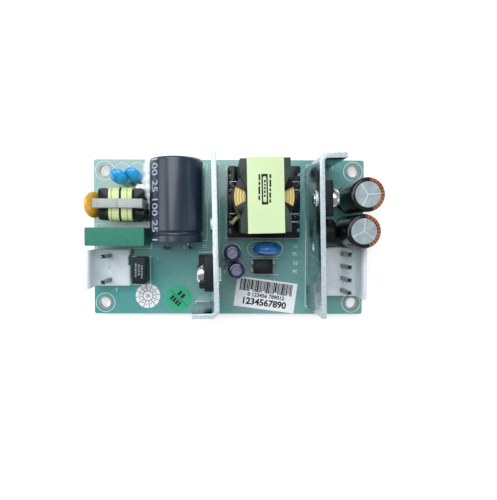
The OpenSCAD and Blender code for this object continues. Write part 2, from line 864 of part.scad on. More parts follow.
module on_bulk() {
    translate([bulk_x, bulk_y_low + sleeve_t, bulk_z]) rotate([-90, 0, 0]) children();
}

module bulk_capacitor_can() {
    color("lightgray") on_bulk() capacitor_can(bulk_d, bulk_l);
}

module bulk_capacitor_sleeve() {
    color("#1b2029") on_bulk() capacitor_sleeve(bulk_d, bulk_l);
}

module bulk_capacitor_bung() {
    color("#202020") on_bulk() capacitor_bung(bulk_d, bulk_pitch, bulk_lead_d);
}

module bulk_capacitor_leads() {
    color("silver") at_bulk_leads() translate([0, 0, bulk_z]) rotate([0, 0, 90])
        bent_wire(bulk_z + lead_stub, bulk_lead_run + sleeve_t + bung_h, bulk_lead_d, 1.2);
}

module output_capacitor_cans() {
    color("gainsboro") at_output_capacitors()
        translate([0, 0, board_t + sleeve_t]) capacitor_can(output_can_d, output_can_l);
}

module output_capacitor_sleeves() {
    color("#26211f") at_output_capacitors()
        translate([0, 0, board_t + sleeve_t]) capacitor_sleeve(output_can_d, output_can_l);
}

module output_capacitor_bungs() {
    color("#202020") at_output_capacitors() translate([0, 0, board_t + sleeve_t])
        capacitor_bung(output_can_d, output_pitch, can_lead_d);
}

module output_capacitor_leads() {
    color("silver") let ($lead_size = [can_lead_d, 0])
        at_output_capacitors() pair(output_pitch) lead(sleeve_t + bung_h);
}

module small_capacitor_cans() {
    color("gainsboro") at_small_capacitors()
        translate([0, 0, board_t + sleeve_t]) capacitor_can(small_can_d, small_can_l);
}

module small_capacitor_sleeves() {
    color("midnightblue") at_small_capacitors()
        translate([0, 0, board_t + sleeve_t]) capacitor_sleeve(small_can_d, small_can_l);
}

module small_capacitor_bungs() {
    color("#202020") at_small_capacitors() translate([0, 0, board_t + sleeve_t])
        capacitor_bung(small_can_d, small_pitch, can_lead_d);
}

module small_capacitor_leads() {
    color("silver") let ($lead_size = [can_lead_d, 0])
        at_small_capacitors() pair(small_pitch) lead(sleeve_t + bung_h);
}

// --- Silicone that holds the bulk capacitor ----------------------------------

module silicone_bead() {
    x_wall = bulk_x - bulk_r - 1.15;
    y_high = high_edge - 0.4;
    y_low = film_y + film_w / 2 + 0.4;
    color("white") difference() {
        union() {
            // fillet along the capacitor's side
            translate([0, y_high, board_t]) rotate([90, 0, 0]) linear_extrude(y_high - y_low)
                polygon([[x_wall, 0], [x_wall, 2.6], [x_wall + 1.35, 7.4], [bulk_x - 3, 3], [bulk_x - 3, 0]]);
            // puddle round the feet of the right disc capacitor
            translate([0, 0, board_t]) linear_extrude(2)
                polygon([
                    [x_wall + 0.5, y_high], [x_wall - 0.1, y_high], [x_wall - 6.3, y_high - 2.6],
                    [x_wall - 5.4, choke_y + choke_winding_w / 2 + 1.6],
                    [x_wall - 2.4, choke_y + choke_winding_w / 2 + 0.3],
                    [x_wall + 0.5, choke_y + choke_winding_w / 2 + 0.3]
                ]);
        }
        translate([bulk_x, y_high + 1, bulk_z]) rotate([90, 0, 0]) cylinder(r = bulk_r, h = board_w);
        disc_capacitor_leads();
    }
}

// --- Heatsinks and the devices screwed to them -------------------------------

// Plate with a folded flange, seen from above
module heatsink_outline() {
    outer = fold_r + sheet_t;
    low = -heatsink_l / 2;
    translate([-sheet_t / 2, low + outer]) square([sheet_t, heatsink_l - outer]);
    translate([sheet_t / 2 - flange_l, low]) square([flange_l - outer, sheet_t]);
    translate([sheet_t / 2 - outer, low + outer]) intersection() {
        difference() {
            circle(outer);
            circle(fold_r);
        }
        translate([0, -outer]) square(outer);
    }
}

module heatsink() {
    difference() {
        translate([0, 0, board_t]) {
            linear_extrude(heatsink_h) heatsink_outline();
            // collar of the hole in use, behind the plate, and of the spare, in front
            translate([0, device_y, screw_z]) rotate([0, 90, 0])
                cylinder(d = collar_d, h = sheet_t / 2 + collar_h);
            translate([0, spare_y, spare_z]) rotate([0, -90, 0])
                cylinder(d = collar_d, h = sheet_t / 2 + collar_h);
            at_heatsink_tabs() translate([0, 0, -board_t - pin_stub])
                linear_extrude(board_t + pin_stub + eps) square([sheet_t, tab_w], center = true);
        }
        translate([0, device_y, board_t + screw_z]) rotate([0, 90, 0])
            cylinder(d = screw_d, h = 20, center = true);
        translate([0, spare_y, board_t + spare_z]) rotate([0, 90, 0])
            cylinder(d = screw_d, h = 20, center = true);
    }
}

package_z = 3.1;

// Moulded body, thick around the chip and thin around the screw
module package_body() {
    back = -sheet_t / 2;
    chip = back - package_t;
    tab = back - package_tab_t;
    difference() {
        translate([0, device_y + package_w / 2, board_t + package_z]) rotate([90, 0, 0])
            linear_extrude(package_w) polygon([
                [back, 0], [back - 1.4, 0], [chip, 0.5], [chip, package_chip_h],
                [tab, package_chip_h + 0.9], [tab, package_h - 0.2], [tab + 0.2, package_h],
                [back, package_h]
            ]);
        translate([0, device_y, board_t + screw_z]) rotate([0, -90, 0])
            cylinder(d = screw_d + 0.2, h = package_t + 2);
        // shallow notches at both sides of the screw
        for (side = [-1, 1])
            translate([tab - 0.5, device_y + side * package_w / 2 - 0.6,
                       board_t + package_z + package_chip_h + 2])
                cube([package_tab_t + 0.5 - 0.8, 1.2, 1.6]);
        package_legs();
    }
}

// Three legs, wide where they leave the body
module package_legs() {
    let ($lead_size = leg_size) at_package_legs() {
        lead(package_z + 1.5);
        translate([0, 0, board_t + 0.8]) linear_extrude(package_z + 0.7)
            square([leg_size[0], 1.3], center = true);
    }
}

// Pan head screw with a cross recess, driven through the device into the plate
module device_screw() {
    head_from = -sheet_t / 2 - package_tab_t;
    translate([head_from, device_y, board_t + screw_z]) rotate([0, -90, 0]) difference() {
        union() {
            rotate_extrude() polygon(concat(
                [[0, 0], [screw_head_d / 2, 0]],
                arc(screw_head_d / 2 - 1, screw_head_h - 1, 1, 0, 75, 4),
                [[0, screw_head_h]]
            ));
            translate([0, 0, -package_tab_t - sheet_t - collar_h - 0.6])
                cylinder(d = screw_d, h = package_tab_t + sheet_t + collar_h + 0.7);
        }
        for (turn = [45, 135]) rotate([0, 0, turn])
            translate([-1.5, -0.3, screw_head_h - 1]) cube([3, 0.6, 2]);
    }
}

module primary_heatsink() {
    color("lightsteelblue") on_primary() heatsink();
}

module switch_transistor() {
    color("#17181a") on_primary() package_body();
}

module switch_transistor_legs() {
    color("silver") on_primary() package_legs();
}

module switch_transistor_screw() {
    color("whitesmoke") on_primary() device_screw();
}

module secondary_heatsink() {
    color("lightsteelblue") on_secondary() heatsink();
}

module output_rectifier() {
    color("#17181a") on_secondary() package_body();
}

module output_rectifier_legs() {
    color("silver") on_secondary() package_legs();
}

module output_rectifier_screw() {
    color("whitesmoke") on_secondary() device_screw();
}

// --- Transformer -------------------------------------------------------------

plate_h = (core_h - window_h) / 2;
core_z = board_t + base_h;
flange_low_z = core_z + plate_h + core_fit;
flange_high_z = core_z + core_h - plate_h - core_fit;
tube_d = post_d + 2 * core_fit + 2 * bobbin_wall;
flange_d = window_d - 4 * core_fit;
rail_gap = 0.8;
rail_h = base_h + 1.5;
// Rows of pins that a lead out reaches, and the centreline radius of its bend
lead_out_rows = [-2.5, -1.5, 1.5, 2.5];
lead_out_bend = 0.6;
// Webs stand between the inner rows, clear of their wires
web_w = 3 * winding_pin_pitch - lead_out_d - 2;

// Frame of the core, centred on its post
module on_core() {
    translate([base_x + core_shift_x, base_y + core_shift_y, 0]) children();
}

// Back plate of a core half, narrowed at its waist
module core_plan() {
    w = core_w / 2;
    l = core_l / 2;
    shoulder = window_d / 3;
    polygon([
        [-w, -l], [w, -l], [w, -shoulder], [core_waist / 2, -1.2], [core_waist / 2, 1.2],
        [w, shoulder], [w, l], [-w, l], [-w, shoulder], [-core_waist / 2, 1.2],
        [-core_waist / 2, -1.2], [-w, -shoulder]
    ]);
}

// Core half standing on its back plate, with a round post and two curved outer legs
module core_half() {
    linear_extrude(plate_h) core_plan();
    cylinder(d = post_d, h = core_h / 2);
    linear_extrude(core_h / 2) difference() {
        square([core_w, core_l], center = true);
        circle(d = window_d);
    }
}

module transformer_core_lower() {
    color("#4a4d4f") on_core() rotate([0, 0, core_turn]) translate([0, 0, core_z]) core_half();
}

module transformer_core_upper() {
    color("#4a4d4f") on_core() rotate([0, 0, core_turn])
        translate([0, 0, core_z + core_h]) mirror([0, 0, 1]) core_half();
}

// Tape round the length of both core halves
module transformer_tape() {
    color("#dff2b0") on_core() rotate([0, 0, core_turn])
        translate([-core_tape_w / 2, 0, core_z + core_h / 2]) rotate([90, 0, 90])
            linear_extrude(core_tape_w) difference() {
                square([core_l + 2 * core_tape_t, core_h + 2 * core_tape_t], center = true);
                square([core_l, core_h], center = true);
            }
}

// Flange of the bobbin, opened by a notch on both sides where wires pass
module bobbin_flange(notch) {
    difference() {
        circle(d = flange_d);
        if (notch)
            for (side = [0, 1]) mirror([side, 0])
                polygon([[tube_d / 2 + 0.15, 1.3], [flange_d, 8], [flange_d, -8], [tube_d / 2 + 0.15, -1.3]]);
    }
}

// Bobbin: floor with two rails of pins, tube, and two flanges round the winding
module transformer_bobbin() {
    rail_in = core_w / 2 + rail_gap;
    color("#17181a") difference() {
        union() {
            translate([base_x, base_y, board_t + stand_off])
                rounded_block(base_l, base_w, base_h - core_tape_t - stand_off, 0.6);
            translate([base_x, base_y, board_t])
                for (x = [-1, 1], y = [-1, 1]) translate([x * (base_l / 2 - 2), y * (base_w / 2 - 1.6), 0])
                    cylinder(d = 1.6, h = stand_off + eps);
            // rails, clear of the core's sides
            difference() {
                translate([base_x, base_y, board_t + stand_off])
                    rounded_block(base_l, base_w, rail_h - stand_off, 0.6);
                on_core() translate([-rail_in, -base_w, board_t])
                    cube([2 * rail_in, 2 * base_w, core_h]);
            }
            // webs from the rails up to the lower flange
            on_core() for (side = [0, 1]) mirror([side, 0, 0])
                translate([rail_in, -web_w / 2, board_t + base_h])
                    cube([1.4, web_w, flange_low_z + bobbin_wall - board_t - base_h]);
            on_core() translate([0, 0, flange_low_z]) linear_extrude(bobbin_wall) {
                bobbin_flange(false);
                square([2 * rail_in + 1, web_w], center = true);
            }
            on_core() translate([0, 0, flange_high_z - bobbin_wall])
                linear_extrude(bobbin_wall) bobbin_flange(true);
            on_core() translate([0, 0, flange_low_z])
                cylinder(d = tube_d, h = flange_high_z - flange_low_z);
        }
        on_core() translate([0, 0, flange_low_z - 1])
            cylinder(d = post_d + 2 * core_fit, h = core_h);
        // slots in the rails' outer edges, where the wires reach the pins
        for (row = pin_rows)
            translate([base_x, base_y + row * winding_pin_pitch, board_t])
                pair(base_l) cube([lead_out_d + 2 * lead_out_bend + 0.2, 2 * lead_out_d, 3 * rail_h],
                    center = true);
        let ($lead_size = [winding_pin_d, 0]) at_winding_pins() lead(base_h - 0.8);
    }
}

module transformer_winding() {
    color("gold") on_core() translate([0, 0, flange_low_z + bobbin_wall])
        linear_extrude(flange_high_z - flange_low_z - 2 * bobbin_wall) difference() {
            circle(d = flange_d - 0.5);
            circle(d = tube_d);
        }
}

module transformer_pins() {
    color("silver") let ($lead_size = [winding_pin_d, 0]) at_winding_pins() lead(base_h - 0.8);
}

// Wires that leave the winding, cross the rails and drop through their slots
module transformer_lead_outs() {
    drop = rail_h + lead_out_d / 2 - 0.7;
    color("gainsboro") for (side = [0, 1], row = lead_out_rows)
        translate([base_x, base_y + row * winding_pin_pitch, board_t + rail_h + lead_out_d / 2])
            mirror([side, 0, 0]) translate([-base_l / 2 + lead_out_d / 2, 0, 0])
                bent_wire(drop, lead_out_run(side), lead_out_d, lead_out_bend);
}

// From a rail's edge to just short of the core on that side, which the core's shift changes
function lead_out_run(side) =
    base_l / 2 - core_w / 2 - rail_gap + (side == 0 ? 1 : -1) * core_shift_x;

// --- Small parts -------------------------------------------------------------

bridge_disc_z = 1.7 + bridge_disc_d / 2;

module bridging_disc_leads() {
    color("silver") let ($lead_size = [disc_lead_d, 0])
        at_bridge_disc() pair(bridge_pitch) lead(bridge_disc_z - disc_lead_end);
}

module bridging_disc_capacitor() {
    color("royalblue") difference() {
        at_bridge_disc() translate([0, 0, board_t + bridge_disc_z])
            dipped_disc(bridge_disc_d, bridge_disc_t);
        bridging_disc_leads();
    }
}

ring_choke_z = 0.5 + ring_choke_d / 2;

// Ring core in a shrunk sleeve, standing on its rim, with both faces dished
module output_choke() {
    edge = 1.4;
    r = ring_choke_d / 2;
    w = ring_choke_w / 2;
    color("#141416") difference() {
        at_ring_choke() translate([0, 0, board_t + ring_choke_z]) rotate([0, 90, 0])
            rotate_extrude() polygon(concat(
                [[0, -w + 0.8], [r * 0.3, -w + 0.5]],
                [[r * 0.42, -w]], arc(r - edge, -w + edge, edge, -90, 0, 5),
                arc(r - edge, w - edge, edge, 0, 90, 5), [[r * 0.42, w]],
                [[r * 0.3, w - 0.5], [0, w - 0.8]]
            ));
        output_choke_leads();
    }
}

module output_choke_leads() {
    color("silver") let ($lead_size = [ring_lead_d, 0])
        at_ring_choke() pair(ring_choke_pitch) lead(2);
}

opto_z = 0.4;

module optocoupler_body() {
    translate([base_x, opto_y, board_t + opto_z]) color("#1a1b1d") difference() {
        linear_extrude(opto_h) square([opto_l, opto_w], center = true);
        translate([-opto_l / 2 + 0.9, opto_w / 2 - 0.9, opto_h - 0.1]) cylinder(d = 0.8, h = 1);
    }
}

// Legs that leave the sides at half height and turn down
module optocoupler_legs() {
    shoulder_z = opto_z + opto_h / 2;
    reach = (opto_row - opto_l) / 2;
    color("silver") let ($lead_size = opto_leg_size) {
        at_opto_legs() {
            lead(shoulder_z);
            translate([0, 0, board_t + 0.4]) linear_extrude(shoulder_z - 0.4)
                square([opto_leg_size[0], 1.2], center = true);
        }
        for (side = [-1, 1], y = [-1.27, 1.27])
            translate([
                base_x + side * (opto_l / 2 + (reach + opto_leg_size[0] / 2) / 2), opto_y + y,
                board_t + shoulder_z - 0.125
            ]) cube([reach + opto_leg_size[0] / 2, 1.2, 0.25], center = true);
    }
}

module paper_label() {
    color("white") translate([label_x, label_y, board_t]) rotate([0, 0, label_turn])
        linear_extrude(paper_t) square([label_l, label_w], center = true);
}

module date_sticker() {
    color("white") translate([fuse_x + 1.55, low_edge + 5.95, board_t])
        cylinder(d = date_sticker_d, h = paper_t);
}

module check_sticker() {
    color("mediumseagreen") translate([fuse_x + 11.75, low_edge + 5.3, board_t])
        cylinder(d = check_sticker_d, h = paper_t);
}

// --- Surface parts under the board -------------------------------------------

smd_gap = 0.1;

// Moulded body with rows of flat feet along both long sides, hanging under the board
module flat_package(l, w, h, feet, pitch, foot_w) {
    translate([0, 0, -smd_gap - h]) linear_extrude(h) square([l, w], center = true);
    for (side = [-1, 1], i = [0 : feet - 1])
        translate([(i - (feet - 1) / 2) * pitch, side * (w / 2 + 0.4), 0]) {
            translate([0, 0, -0.1]) cube([foot_w, 1.1, 0.2], center = true);
            translate([0, -side * 0.3, -smd_gap - h / 4]) cube([foot_w, 0.3, h / 2 + 0.2], center = true);
        }
}

module bridge_rectifier() {
    color("#1a1b1d") translate([fuse_x + 7.6, fuse_y - 0.2, 0])
        flat_package(5, 4.4, 1.3, 2, 3, 1);
}

// Middle of the controller, which its chip parts stand around
controller_x = primary_x + 6.5;
controller_y = low_edge + 9;

module controller_chip() {
    color("#1a1b1d") translate([controller_x, controller_y, 0])
        flat_package(4.9, 3.9, 1.3, 4, 1.27, 0.45);
}

// Plan size of a chip part, the heights of both kinds and the steps of their rows
chip_plan = [2, 1.25];
chip_resistor_h = 0.5;
chip_capacitor_h = 0.9;
chip_resistor_step = 2.2;
chip_capacitor_step = 2.4;

// Lower long edge to the first chip of the rows beside the secondary heatsink
chip_margin = 8;

// Row of chip parts of one height, hanging under the board from its first middle
module chip_row(x, y, count, step, h) {
    for (i = [0 : count - 1])
        translate([x, y + i * step, -h / 2]) cube([chip_plan[0], chip_plan[1], h], center = true);
}

module chip_resistors() {
    color("#222222") {
        chip_row(controller_x + 5, controller_y - 3, 4, chip_resistor_step, chip_resistor_h);
        chip_row(secondary_x - 4, low_edge + chip_margin, 5, chip_resistor_step, chip_resistor_h);
        chip_row(film_x, film_y - chip_resistor_step, 3, chip_resistor_step, chip_resistor_h);
    }
}

module chip_capacitors() {
    color("peru") {
        chip_row(controller_x - 3.7, controller_y + 3.6, 2, chip_capacitor_step, chip_capacitor_h);
        chip_row(secondary_x - 7, low_edge + chip_margin, 3, chip_capacitor_step, chip_capacitor_h);
    }
}

circuit_board();
solder_joints();
inlet_housing();
inlet_pins();
outlet_housing();
outlet_pins();
fuse_body();
fuse_leads();
varistor_disc();
varistor_leads();
film_capacitor_case();
film_capacitor_leads();
filter_choke_core();
filter_choke_bobbin();
filter_choke_windings();
filter_choke_pins();
left_disc_capacitor();
right_disc_capacitor();
disc_capacitor_leads();
bulk_capacitor_can();
bulk_capacitor_sleeve();
bulk_capacitor_bung();
bulk_capacitor_leads();
silicone_bead();
primary_heatsink();
switch_transistor();
switch_transistor_legs();
switch_transistor_screw();
transformer_core_lower();
transformer_core_upper();
transformer_bobbin();
transformer_winding();
transformer_tape();
transformer_pins();
transformer_lead_outs();
secondary_heatsink();
output_rectifier();
output_rectifier_legs();
output_rectifier_screw();
output_capacitor_cans();
output_capacitor_sleeves();
output_capacitor_bungs();
output_capacitor_leads();
output_choke();
output_choke_leads();
small_capacitor_cans();
small_capacitor_sleeves();
small_capacitor_bungs();
small_capacitor_leads();
bridging_disc_capacitor();
bridging_disc_leads();
optocoupler_body();
optocoupler_legs();
paper_label();
date_sticker();
check_sticker();
bridge_rectifier();
controller_chip();
chip_resistors();
chip_capacitors();
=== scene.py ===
"""Looks of an open frame power supply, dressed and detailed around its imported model."""

import logging
import math
from dataclasses import dataclass
from enum import Enum
from typing import Iterable, Sequence

import bmesh
import bpy
from mathutils import Matrix, Vector


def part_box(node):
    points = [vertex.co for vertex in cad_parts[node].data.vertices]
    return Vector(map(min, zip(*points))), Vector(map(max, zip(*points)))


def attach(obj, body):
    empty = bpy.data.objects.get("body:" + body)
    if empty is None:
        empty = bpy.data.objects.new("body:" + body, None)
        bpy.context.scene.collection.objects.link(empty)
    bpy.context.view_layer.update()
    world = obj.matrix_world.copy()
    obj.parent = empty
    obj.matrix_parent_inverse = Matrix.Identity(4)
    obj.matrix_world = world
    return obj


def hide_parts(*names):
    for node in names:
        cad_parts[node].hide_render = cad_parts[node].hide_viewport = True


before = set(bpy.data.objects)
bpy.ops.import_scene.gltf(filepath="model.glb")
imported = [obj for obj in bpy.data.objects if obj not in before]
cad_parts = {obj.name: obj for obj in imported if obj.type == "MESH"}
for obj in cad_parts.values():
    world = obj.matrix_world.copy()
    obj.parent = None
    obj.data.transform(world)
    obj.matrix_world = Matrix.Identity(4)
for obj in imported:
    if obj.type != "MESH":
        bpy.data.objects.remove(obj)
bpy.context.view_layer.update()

logging.basicConfig(level=logging.INFO, format="%(message)s")
log = logging.getLogger("power_supply")

MM = 0.001
BODY = "root"
BOARD_TOP = 1.6
INK = 0.01
SHARP_EDGE = 40.0
LEVEL_EDGE = 0.5
SAME_PLACE = 1e-6
TRANSFORMER_PLACE = (9.75, 11.875)
OUTPUT_PLACES = ((39.1, 2.05), (40.1, 12.8))

Point = tuple[float, float]
Pair = tuple[float, float]
Triple = tuple[float, float, float]
Socket = bpy.types.NodeSocket
Piece = bpy.types.Object


def around(middle: Point, x: float, y: float, turn: float) -> Point:
    """Place a point beside a middle that its surroundings are turned about.

    Args:
        middle: The middle.
        x: Distance from it along the turned X.
        y: Distance from it along the turned Y.
        turn: Angle about Z, in degrees.

    Returns:
        The place, in the unit of the middle.
    """
    angle = math.radians(turn)
    return (middle[0] + x * math.cos(angle) - y * math.sin(angle),
            middle[1] + x * math.sin(angle) + y * math.cos(angle))


class Shading(Enum):
    """How the faces of a piece are shaded."""

    FLAT = 0.0
    ROUND = 45.0
    SMOOTH = 180.0


# --- Finishes ----------------------------------------------------------------


def linear(code: str) -> tuple[float, float, float, float]:
    """Turn a written colour into the linear values that a shader expects.

    Args:
        code: Six hexadecimal digits, red first.

    Returns:
        Red, green, blue and an opacity of 1.
    """
    parts = [int(code[i : i + 2], 16) / 255 for i in (0, 2, 4)]
    flat = [p / 12.92 if p <= 0.04045 else ((p + 0.055) / 1.055) ** 2.4 for p in parts]
    return (*flat, 1.0)


class Nodes:
    """The node tree of one material, and the steps that fill it."""

    def __init__(self, name: str) -> None:
        """Start a material with a plain shader.

        Args:
            name: Name of the material.
        """
        self.material = bpy.data.materials.new(name)
        self.material.use_nodes = True
        self.tree = self.material.node_tree
        self.surface = self.tree.nodes["Principled BSDF"]

    def put(self, target: Socket, value: object) -> None:
        """Fill one input.

        Args:
            target: The input.
            value: Socket that is linked to it, or the plain value that it gets.
        """
        if isinstance(value, Socket):
            self.tree.links.new(value, target)
        else:
            target.default_value = value

    def fill(self, node: bpy.types.Node, values: dict[str, object]) -> bpy.types.Node:
        """Fill inputs of a node.

        Args:
            node: The node.
            values: Plain values or sockets, by the name of the input.

        Returns:
            The node.
        """
        for name, value in values.items():
            self.put(node.inputs[name], value)
        return node

    def add(self, kind: str, values: dict[str, object]) -> bpy.types.Node:
        """Add a node of a kind, by its type name, and fill its inputs."""
        return self.fill(self.tree.nodes.new("ShaderNode" + kind), values)

    def work(self, kind: str, first: Socket, second: object = 0.0) -> Socket:
        """Work out one step with two values.

        Args:
            kind: Operation, by its type name.
            first: Socket of the first value.
            second: Second value, or its socket.

        Returns:
            The socket that gives the result.
        """
        node = self.tree.nodes.new("ShaderNodeMath")
        node.operation = kind
        self.put(node.inputs[0], first)
        self.put(node.inputs[1], second)
        return node.outputs[0]

    def noise(self, place: Socket, scale: float, detail: float) -> Socket:
        """Add a noise pattern.

        Args:
            place: Coordinates that it reads.
            scale: Grains in a metre.
            detail: How many finer layers it has.

        Returns:
            The socket that gives its value.
        """
        values = {"Vector": place, "Scale": scale, "Detail": detail}
        return self.add("TexNoise", values).outputs["Fac"]

    def fade(self, amount: Socket, low: float, high: float, first: float = 0.0,
             second: float = 1.0) -> Socket:
        """Stretch a pattern between two values.

        Args:
            amount: The pattern.
            low: Level at which the first value ends.
            high: Level at which the second value is full.
            first: First value.
            second: Second value.

        Returns:
            The socket that gives the result.
        """
        values = {"Value": amount, "From Min": low, "From Max": high, "To Min": first,
                  "To Max": second}
        return self.add("MapRange", values).outputs["Result"]

    def blend(self, amount: Socket, first: str | Socket, second: str | Socket,
              low: float = 0.3, high: float = 0.7) -> Socket:
        """Mix two colours by a pattern.

        Args:
            amount: The pattern.
            first: Colour where the pattern is low, written or as a socket.
            second: Colour where the pattern is high.
            low: Level at which the second colour sets in.
            high: Level at which it is full.

        Returns:
            The socket that gives the mixed colour.
        """
        mix = self.tree.nodes.new("ShaderNodeMix")
        mix.data_type = "RGBA"
        self.put(mix.inputs["Factor"], self.fade(amount, low, high))
        for side, colour in (("A", first), ("B", second)):
            target = next(i for i in mix.inputs if i.name == side and i.type == "RGBA")
            self.put(target, linear(colour) if isinstance(colour, str) else colour)
        return next(o for o in mix.outputs if o.type == "RGBA")


class GrainNodes(Nodes):
    """The nodes of a finish, with the fine and the broad noise that mottle it."""

    def __init__(self, name: str, grain: float, stretch: Triple) -> None:
        """Start a material with its two patterns.

        Args:
            name: Name of the material.
            grain: Fine grains in a metre.
            stretch: Scale of the grains along X, Y and Z.
        """
        super().__init__(name)
        self.place = self.add("TexCoord", {}).outputs["Object"]
        drawn = self.add("Mapping", {"Vector": self.place, "Scale": stretch}).outputs["Vector"]
        self.fine = self.noise(drawn, grain, 4.0)
        self.broad = self.noise(drawn, grain * 0.12, 3.0)

    def upward(self) -> Socket:
        """Return how far a face looks upwards, from -1 to 1."""
        normal = self.add("TexCoord", {}).outputs["Normal"]
        return self.add("SeparateXYZ", {"Vector": normal}).outputs["Z"]


@dataclass(frozen=True)
class Finish:
    """A surface with a fine mottle in its colour, uneven gloss and a slight relief."""

    name: str
    tone: str
    shade: str
    roughness: float = 0.5
    metallic: float = 0.0
    grain: float = 1500.0
    stretch: Triple = (1.0, 1.0, 1.0)
    relief: float = 0.08
    depth: float = 0.05
    coat: float = 0.0
    unevenness: float = 0.12
    shine: float = 0.5
    milk: float = 0.0
    milk_depth: float = 2.5
    coat_roughness: float = 0.08

    def made(self) -> bpy.types.Material:
        """Return this finish as a material, which is built the first time only."""
        known = bpy.data.materials.get(self.name + "_finish")
        return known if known else self.build()

    def build(self) -> bpy.types.Material:
        """Build the node tree of this finish.

        Returns:
            The new material.
        """
        nodes = GrainNodes(self.name + "_finish", self.grain, self.stretch)
        bump = nodes.add("Bump", {"Strength": self.relief, "Distance": self.depth * MM,
                                  "Height": self.height(nodes)})
        nodes.fill(nodes.surface, {
            "Base Color": self.colour(nodes),
            "Metallic": self.metal(nodes),
            "Roughness": nodes.fade(nodes.broad, 0.0, 1.0,
                                    max(0.02, self.roughness - self.unevenness),
                                    min(1.0, self.roughness + self.unevenness)),
            "Normal": bump.outputs["Normal"],
            "Specular IOR Level": self.shine,
            "Subsurface Weight": self.milk,
            "Subsurface Radius": (1, 1, 1),
            "Subsurface Scale": self.milk_depth * MM,
            "Coat Weight": self.coat,
            "Coat Roughness": self.coat_roughness,
        })
        return nodes.material

    def colour(self, nodes: GrainNodes) -> Socket:
        """Return the colour of the surface, here a mottle of its two tones."""
        return nodes.blend(nodes.broad, self.tone, self.shade)

    def metal(self, nodes: GrainNodes) -> float | Socket:
        """Return how metallic the surface is, here the same all over."""
        return self.metallic

    def height(self, nodes: GrainNodes) -> Socket:
        """Return the pattern that the relief follows, here the fine noise."""
        return nodes.fine


@dataclass(frozen=True)
class LayeredFinish(Finish):
    """A finish with turns or layers that lie side by side along one axis."""

    pitch: float = 0.4
    along: str = "Z"
    line: str = "000000"
    line_share: float = 0.2
    middle: Point | None = None

    def height(self, nodes: GrainNodes) -> Socket:
        """Add the bands of the layers, straight or in rings about a middle.

        Args:
            nodes: Nodes of the finish.

        Returns:
            The socket that gives them, from 0 between layers to 1 on them.
        """
        place = nodes.place
        if self.middle:
            back = (-self.middle[0] * MM, -self.middle[1] * MM, 0)
            place = nodes.add("Mapping", {"Vector": place, "Location": back}).outputs["Vector"]
        bands = nodes.add("TexWave", {"Vector": place, "Distortion": 0.6, "Detail Scale": 1.0,
                                      "Scale": math.pi / 10 / (self.pitch * MM)})
        bands.wave_type = "RINGS" if self.middle else "BANDS"
        bands.bands_direction = bands.rings_direction = self.along
        return bands.outputs["Fac"]

    def colour(self, nodes: GrainNodes) -> Socket:
        """Return the mottle with darker lines between the layers."""
        return nodes.blend(self.height(nodes), self.line, super().colour(nodes), 0.0,
                           self.line_share)


@dataclass(frozen=True)
class SheetFinish(Finish):
    """Brushed sheet metal whose sheared edges are paler and duller than its faces."""

    cut_edge: str = "d4e2e6"
    cut_shade: str = "a9bcc4"
    cut_metallic: float = 0.1
    edge_low: float = 0.5
    edge_high: float = 0.8

    def colour(self, nodes: GrainNodes) -> Socket:
        """Colour the faces by their brushing and the sheared top edge by its speckles.

        Args:
            nodes: Nodes of the finish.

        Returns:
            The socket of the colour.
        """
        brushed = nodes.blend(nodes.fine, self.tone, self.shade, 0.35, 0.65)
        speckled = nodes.blend(nodes.noise(nodes.place, 2600.0, 3.0), self.cut_edge,
                               self.cut_shade, 0.42, 0.7)
        return nodes.blend(nodes.upward(), brushed, speckled, self.edge_low, self.edge_high)

    def metal(self, nodes: GrainNodes) -> Socket:
        """Return the metal of the faces, which ends at the sheared top edge."""
        return nodes.fade(nodes.upward(), self.edge_low, self.edge_high, self.metallic,
                          self.cut_metallic)


@dataclass(frozen=True)
class MaskFinish(Finish):
    """Green solder mask over laminate, with grey patches of painted reflection and the pale cut
    sides of the laminate.
    """

    laminate: str = "a8a878"
    laminate_shade: str = "8c8d62"
    painted_reflection_scale: float = 26.0

    def colour(self, nodes: GrainNodes) -> Socket:
        """Colour the mask in soft patches of its teal and of a grey that is painted reflection,
        and show bare laminate on upright faces.

        Args:
            nodes: Nodes of the finish.

        Returns:
            The socket of the colour.
        """
        # The grey second tone, laid in broad random patches, is painted reflection on the glossy
        # mask.
        mask = nodes.blend(nodes.noise(nodes.place, self.painted_reflection_scale, 2.0), self.tone, self.shade,
                           0.4, 0.72)
        glass = nodes.blend(nodes.fine, self.laminate, self.laminate_shade)
        return nodes.blend(nodes.work("ABSOLUTE", nodes.upward()), glass, mask, 0.4, 0.6)


@dataclass(frozen=True)
class BandFinish(Finish):
    """Dark sleeve with a coloured band over part of its round, broken by fine ticks."""

    band: str = "c06a38"
    band_shade: str = "8a4526"
    middles: tuple[Point, Point] = OUTPUT_PLACES
    split: float = 7.4
    start: float = -70.0
    end: float = 85.0
    ticks: float = 14.0
    tick_level: float = -0.75
    inner: float = 3.95

    def colour(self, nodes: GrainNodes) -> Socket:
        """Colour the sleeve by the angle about the axis of the capacitor it is on.

        Args:
            nodes: Nodes of the finish.

        Returns:
            The socket of the colour.
        """
        work = nodes.work
        parts = nodes.add("SeparateXYZ", {"Vector": nodes.place}).outputs
        far = work("GREATER_THAN", parts["Y"], self.split * MM)
        across = []
        for axis, low, high in zip("XY", *self.middles):
            step = work("MULTIPLY", far, (high - low) * MM)
            across.append(work("SUBTRACT", work("SUBTRACT", parts[axis], low * MM), step))
        angle = work("ARCTAN2", across[1], across[0])
        turns = work("MULTIPLY", angle, 360 / self.ticks)
        squares = [work("MULTIPLY", part, part) for part in across]
        shown = work("GREATER_THAN", work("ADD", *squares), (self.inner * MM) ** 2)
        for test in (work("GREATER_THAN", angle, math.radians(self.start)),
                     work("LESS_THAN", angle, math.radians(self.end)),
                     work("GREATER_THAN", work("SINE", turns), self.tick_level)):
            shown = work("MULTIPLY", shown, test)
        worn = nodes.blend(nodes.fine, self.band, self.band_shade, 0.35, 0.75)
        return nodes.blend(shown, super().colour(nodes), worn, 0.0, 1.0)
